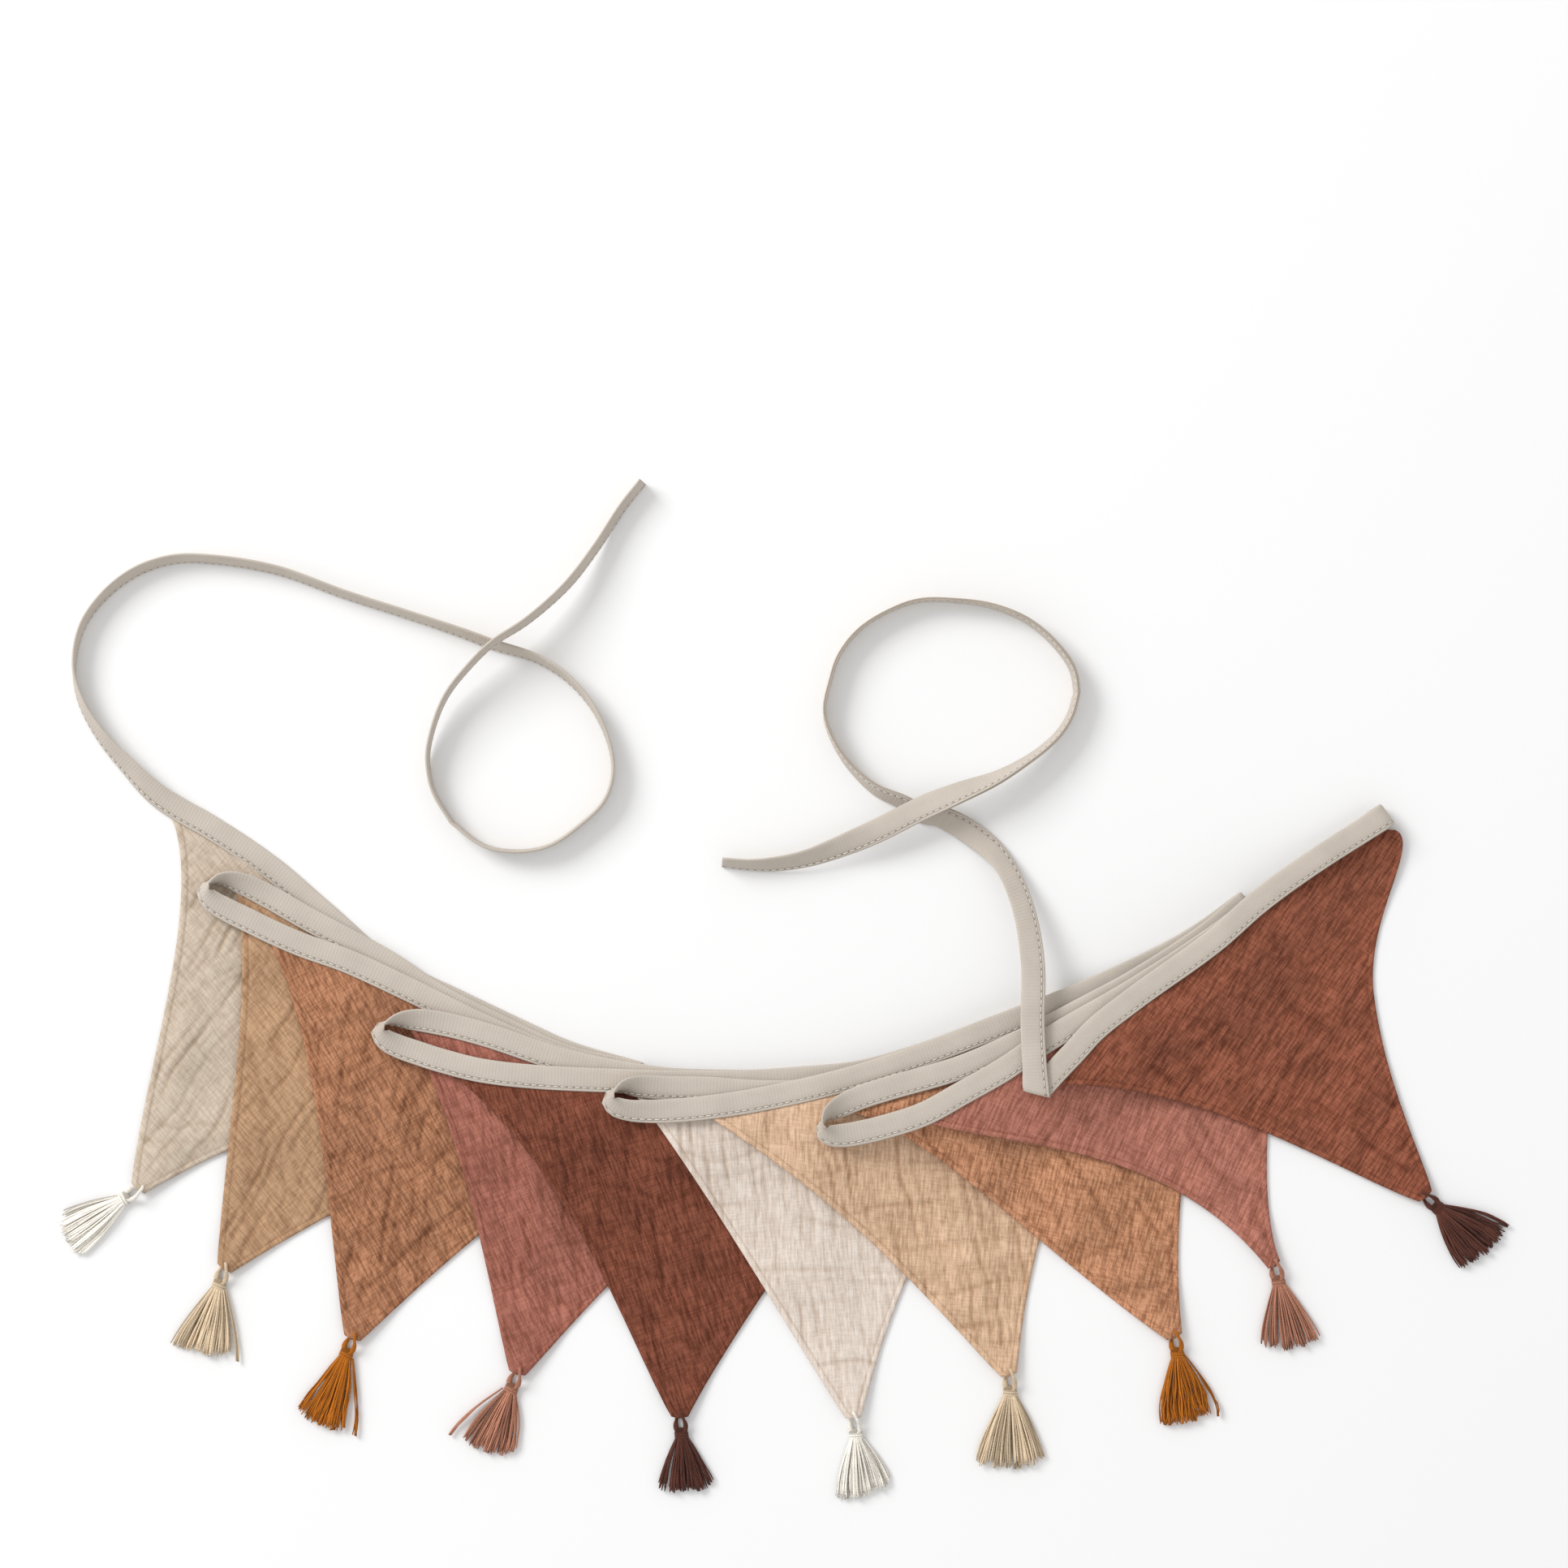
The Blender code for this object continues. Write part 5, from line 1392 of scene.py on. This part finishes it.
def tape_material():
    """Plain cotton tape: fine threads, puckers in relief, and painted shade on the lips of its open edge
    and in the groove at its stitches.
    """
    material, tree, shader = new_material("cotton_tape", *TAPE_SURFACE)
    colour = colour_of("tape")
    place = object_place(tree)
    clouds = ramp(tree, noise_value(tree, place, TAPE_CLOUDS), CLOUD_STOPS)
    base = mix_colours(tree, clouds, *(shaded(colour, factor) for factor in TAPE_TONES))
    fine = noise_value(tree, place, 1 / TAPE_GRAIN, FINE_DETAIL)
    base = dimmed(tree, ramp(tree, fine, GRAIN_STOPS), base, GRAIN_SHADE)
    edge = attribute_value(tree, "edge", 1 / TAPE_WIDTH)
    # Painted shade: a band along the groove at the stitch line, and the lips of the open edge.
    for stops, shade in ((STITCH_STOPS, PAINTED_STITCH_GROOVE_SHADE), (LIP_STOPS, PAINTED_LIP_SHADE)):
        base = dimmed(tree, ramp(tree, edge, stops), base, shade)
    puckered = bump(tree, waves(tree, TAPE_PUCKER), *TAPE_RELIEF)
    finish_shader(tree, shader, base, bump(tree, fine, *GRAIN_RELIEF, puckered))
    return material


def thread_material():
    """Sewing thread, a little paler than the tape."""
    material, tree, shader = new_material("sewing_thread", *THREAD_SURFACE)
    colour = colour_of("thread")
    twist = noise_value(tree, object_place(tree), 1 / THREAD_GRAIN)
    finish_shader(tree, shader, mix_colours(tree, twist, shaded(colour, THREAD_TONE), colour))
    return material


def yarn_material(yarn):
    """Cotton yarn: each strand a little different in tone and in painted light and shade by how high it
    lies, with its twist across it.
    """
    name = f"yarn_{yarn}"
    if name in bpy.data.materials:
        return bpy.data.materials[name]
    material, tree, shader = new_material(name, *YARN_SURFACE)
    colour = colour_of(yarn)
    dark, light = shaded(colour, *DARKEST_YARN), shaded(colour, *LIGHTEST_YARN)
    base = mix_colours(tree, attribute_value(tree, "tint"), dark, light)
    fuzz = noise_value(tree, object_place(tree), 1 / YARN_FUZZ, FINE_DETAIL)
    base = dimmed(tree, ramp(tree, fuzz, GRAIN_STOPS), base, FUZZ_SHADE)
    finish_shader(tree, shader, base, bump(tree, waves(tree, YARN_TWIST), *YARN_RELIEF))
    return material


def floor_material():
    material, _, shader = new_material("studio_paper", *PAPER_SURFACE)
    shader.inputs["Base Color"].default_value = (*FLOOR_COLOUR, 1.0)
    return material


def build_stage():
    """A white floor, soft light from all round with a broad lamp at the upper left, and the camera."""
    bm = bmesh.new()
    bmesh.ops.create_grid(bm, x_segments=1, y_segments=1, size=FLOOR_HALF)
    mesh = bpy.data.meshes.new("studio_floor")
    bm.to_mesh(mesh)
    bm.free()
    floor = bpy.data.objects.new("studio_floor", mesh)
    floor.location.z = -FLOOR_DROP
    floor.data.materials.append(floor_material())
    bpy.context.scene.collection.objects.link(floor)
    world = bpy.data.worlds.new("soft_room")
    world.use_nodes = True
    background = world.node_tree.nodes["Background"]
    background.inputs["Color"].default_value = (1.0, 1.0, 1.0, 1.0)
    background.inputs["Strength"].default_value = bpy.context.scene.bunting.room_light
    bpy.context.scene.world = world
    light = bpy.data.lights.new("key_lamp", "AREA")
    light.shape = "SQUARE"
    light.size = LAMP_SIZE
    light.energy = LAMP_POWER
    lamp = bpy.data.objects.new("key_lamp", light)
    lamp.location = LAMP_PLACE
    lamp.rotation_euler = (-lamp.location).to_track_quat("-Z", "Y").to_euler()
    bpy.context.scene.collection.objects.link(lamp)
    data = bpy.data.cameras.new("photo_camera")
    data.sensor_width = SENSOR_WIDTH
    data.lens = SENSOR_WIDTH * CAMERA_HEIGHT / FRAME_WIDTH
    camera = bpy.data.objects.new("photo_camera", data)
    camera.location = (*CAMERA_CENTRE, CAMERA_HEIGHT)
    bpy.context.scene.collection.objects.link(camera)
    bpy.context.scene.camera = camera
    bpy.context.scene.view_settings.view_transform = "Standard"


def length_setting(name, description, default, low, high):
    return FloatProperty(
        name=name, description=description, default=default, min=low, max=high, unit="LENGTH",
    )


def colour_setting(name, default):
    return FloatVectorProperty(
        name=f"{name} colour", description=f"Colour of the {name.lower()}", default=default,
        size=3, min=0.0, max=1.0, subtype="COLOR",
    )


class BuntingSettings(bpy.types.PropertyGroup):
    """Sizes and colours that a user may want to change."""

    tape_width: length_setting(
        "Tape width", "Width of the folded tape", TAPE_WIDTH, 4 * MM, 30 * MM,
    )
    stitch_length: length_setting(
        "Stitch length", "Length of one stitch along the tape", 2.6 * MM, 1 * MM, 10 * MM,
    )
    stitch_pitch: length_setting(
        "Stitch pitch", "From one stitch to the next", 3.3 * MM, 1.5 * MM, 20 * MM,
    )
    stitch_thickness: length_setting(
        "Stitch thickness", "Thickness of the sewing thread", 0.42 * MM, 0.2 * MM, 2 * MM,
    )
    flag_thickness: length_setting(
        "Flag thickness", "Thickness of both layers of muslin", 0.7 * MM, 0.3 * MM, 1 * MM,
    )
    hem_width: length_setting(
        "Hem width", "Width of the turned edge along a flag's sides", 2.4 * MM, 1 * MM, 10 * MM,
    )
    loop_thickness: length_setting(
        "Loop thickness", "Thickness of a tassel's hanging loop", 1.5 * MM, 0.5 * MM, 3 * MM,
    )
    strand_thickness: length_setting(
        "Strand thickness", "Thickness of one strand of a tassel", 0.75 * MM, 0.3 * MM, 2 * MM,
    )
    strands_per_tassel: IntProperty(
        name="Strands per tassel", description="How many strands a tassel's skirt has", default=150,
        min=20, max=300,
    )
    room_light: FloatProperty(
        name="Room light", description="Strength of the light from all round", default=0.74,
        min=0.0, max=3.0,
    )
    tape_colour: colour_setting("Tape", (0.575, 0.515, 0.45))
    thread_colour: colour_setting("Thread", (0.78, 0.74, 0.68))
    cream_colour: colour_setting("Cream cloth", (0.82, 0.725, 0.645))
    tan_colour: colour_setting("Tan cloth", (0.665, 0.445, 0.28))
    terracotta_colour: colour_setting("Terracotta cloth", (0.45, 0.212, 0.108))
    rose_colour: colour_setting("Rose cloth", (0.375, 0.145, 0.105))
    brown_colour: colour_setting("Brown cloth", (0.225, 0.08, 0.048))
    offwhite_colour: colour_setting("Off-white yarn", (0.93, 0.91, 0.85))
    khaki_colour: colour_setting("Khaki yarn", (0.69, 0.56, 0.4))
    ochre_colour: colour_setting("Ochre yarn", (0.46, 0.145, 0.006))
    dusty_colour: colour_setting("Dusty pink yarn", (0.44, 0.2, 0.13))
    chocolate_colour: colour_setting("Chocolate yarn", (0.105, 0.032, 0.02))


class BUNTING_OT_tape(bpy.types.Operator):
    """Folded tape with its two ties, and the running stitches along its open edge"""

    bl_idname = "bunting.tape"
    bl_label = "Tape and Stitches"

    def execute(self, context):
        course, _ = tape_course()
        tape, length = build_tape(course)
        stitches = build_tape_stitches(course)
        return {"FINISHED"}


class BUNTING_OT_flags(bpy.types.Operator):
    """Ten muslin flags, each laid on those that came before it"""

    bl_idname = "bunting.flags"
    bl_label = "Flags"

    def execute(self, context):
        course, runs = tape_course()
        pile = Pile()
        held_back = None
        shares = np.linspace(-0.5, 0.5, 7)[None, :, None] * TAPE_WIDTH
        for number, (flag, strand, run) in enumerate(zip(FLAGS, course.strands, runs), start=1):
            build_flag(number, flag, strand, pile)
            middles, across, _ = run
            surface = middles[:, None] + across[:, None] * shares + (0, 0, TAPE_THICKNESS / 2)
            if held_back is not None:
                pile.add(held_back)
            last = round(LOOP_REACH / TAPE_FINE_STEP)
            held_back = surface[-last:]
            pile.add(surface[:-last])
        return {"FINISHED"}


class BUNTING_OT_tassels(bpy.types.Operator):
    """Ten yarn tassels, each looped through a flag's tip"""

    bl_idname = "bunting.tassels"
    bl_label = "Tassels"

    def execute(self, context):
        for number, (flag, tassel) in enumerate(zip(FLAGS, TASSELS), start=1):
            build_tassel(number, flag, tassel)
        return {"FINISHED"}


class BUNTING_OT_stage(bpy.types.Operator):
    """White floor, soft studio light and the camera above"""

    bl_idname = "bunting.stage"
    bl_label = "Stage"

    def execute(self, context):
        build_stage()
        return {"FINISHED"}


class BUNTING_PT_panel(bpy.types.Panel):
    """Lists what this add-on can build"""

    bl_idname = "BUNTING_PT_panel"
    bl_label = "Fabric Bunting"
    bl_space_type = "VIEW_3D"
    bl_region_type = "UI"
    bl_category = "Bunting"

    def draw(self, context):
        layout = self.layout
        for name in BuntingSettings.__annotations__:
            layout.prop(context.scene.bunting, name)
        for operator in OPERATORS:
            layout.operator(operator.bl_idname)


OPERATORS = (BUNTING_OT_tape, BUNTING_OT_flags, BUNTING_OT_tassels, BUNTING_OT_stage)


def register():
    bpy.utils.register_class(BuntingSettings)
    for operator in OPERATORS:
        bpy.utils.register_class(operator)
    bpy.utils.register_class(BUNTING_PT_panel)
    bpy.types.Scene.bunting = PointerProperty(type=BuntingSettings)


def unregister():
    del bpy.types.Scene.bunting
    bpy.utils.unregister_class(BUNTING_PT_panel)
    for operator in reversed(OPERATORS):
        bpy.utils.unregister_class(operator)
    bpy.utils.unregister_class(BuntingSettings)


def main():
    """Builds the pieces and the stage in order."""
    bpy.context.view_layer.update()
    register()
    bpy.ops.bunting.tape()
    bpy.ops.bunting.flags()
    bpy.ops.bunting.tassels()
    bpy.ops.bunting.stage()


if __name__ == "__main__":
    main()
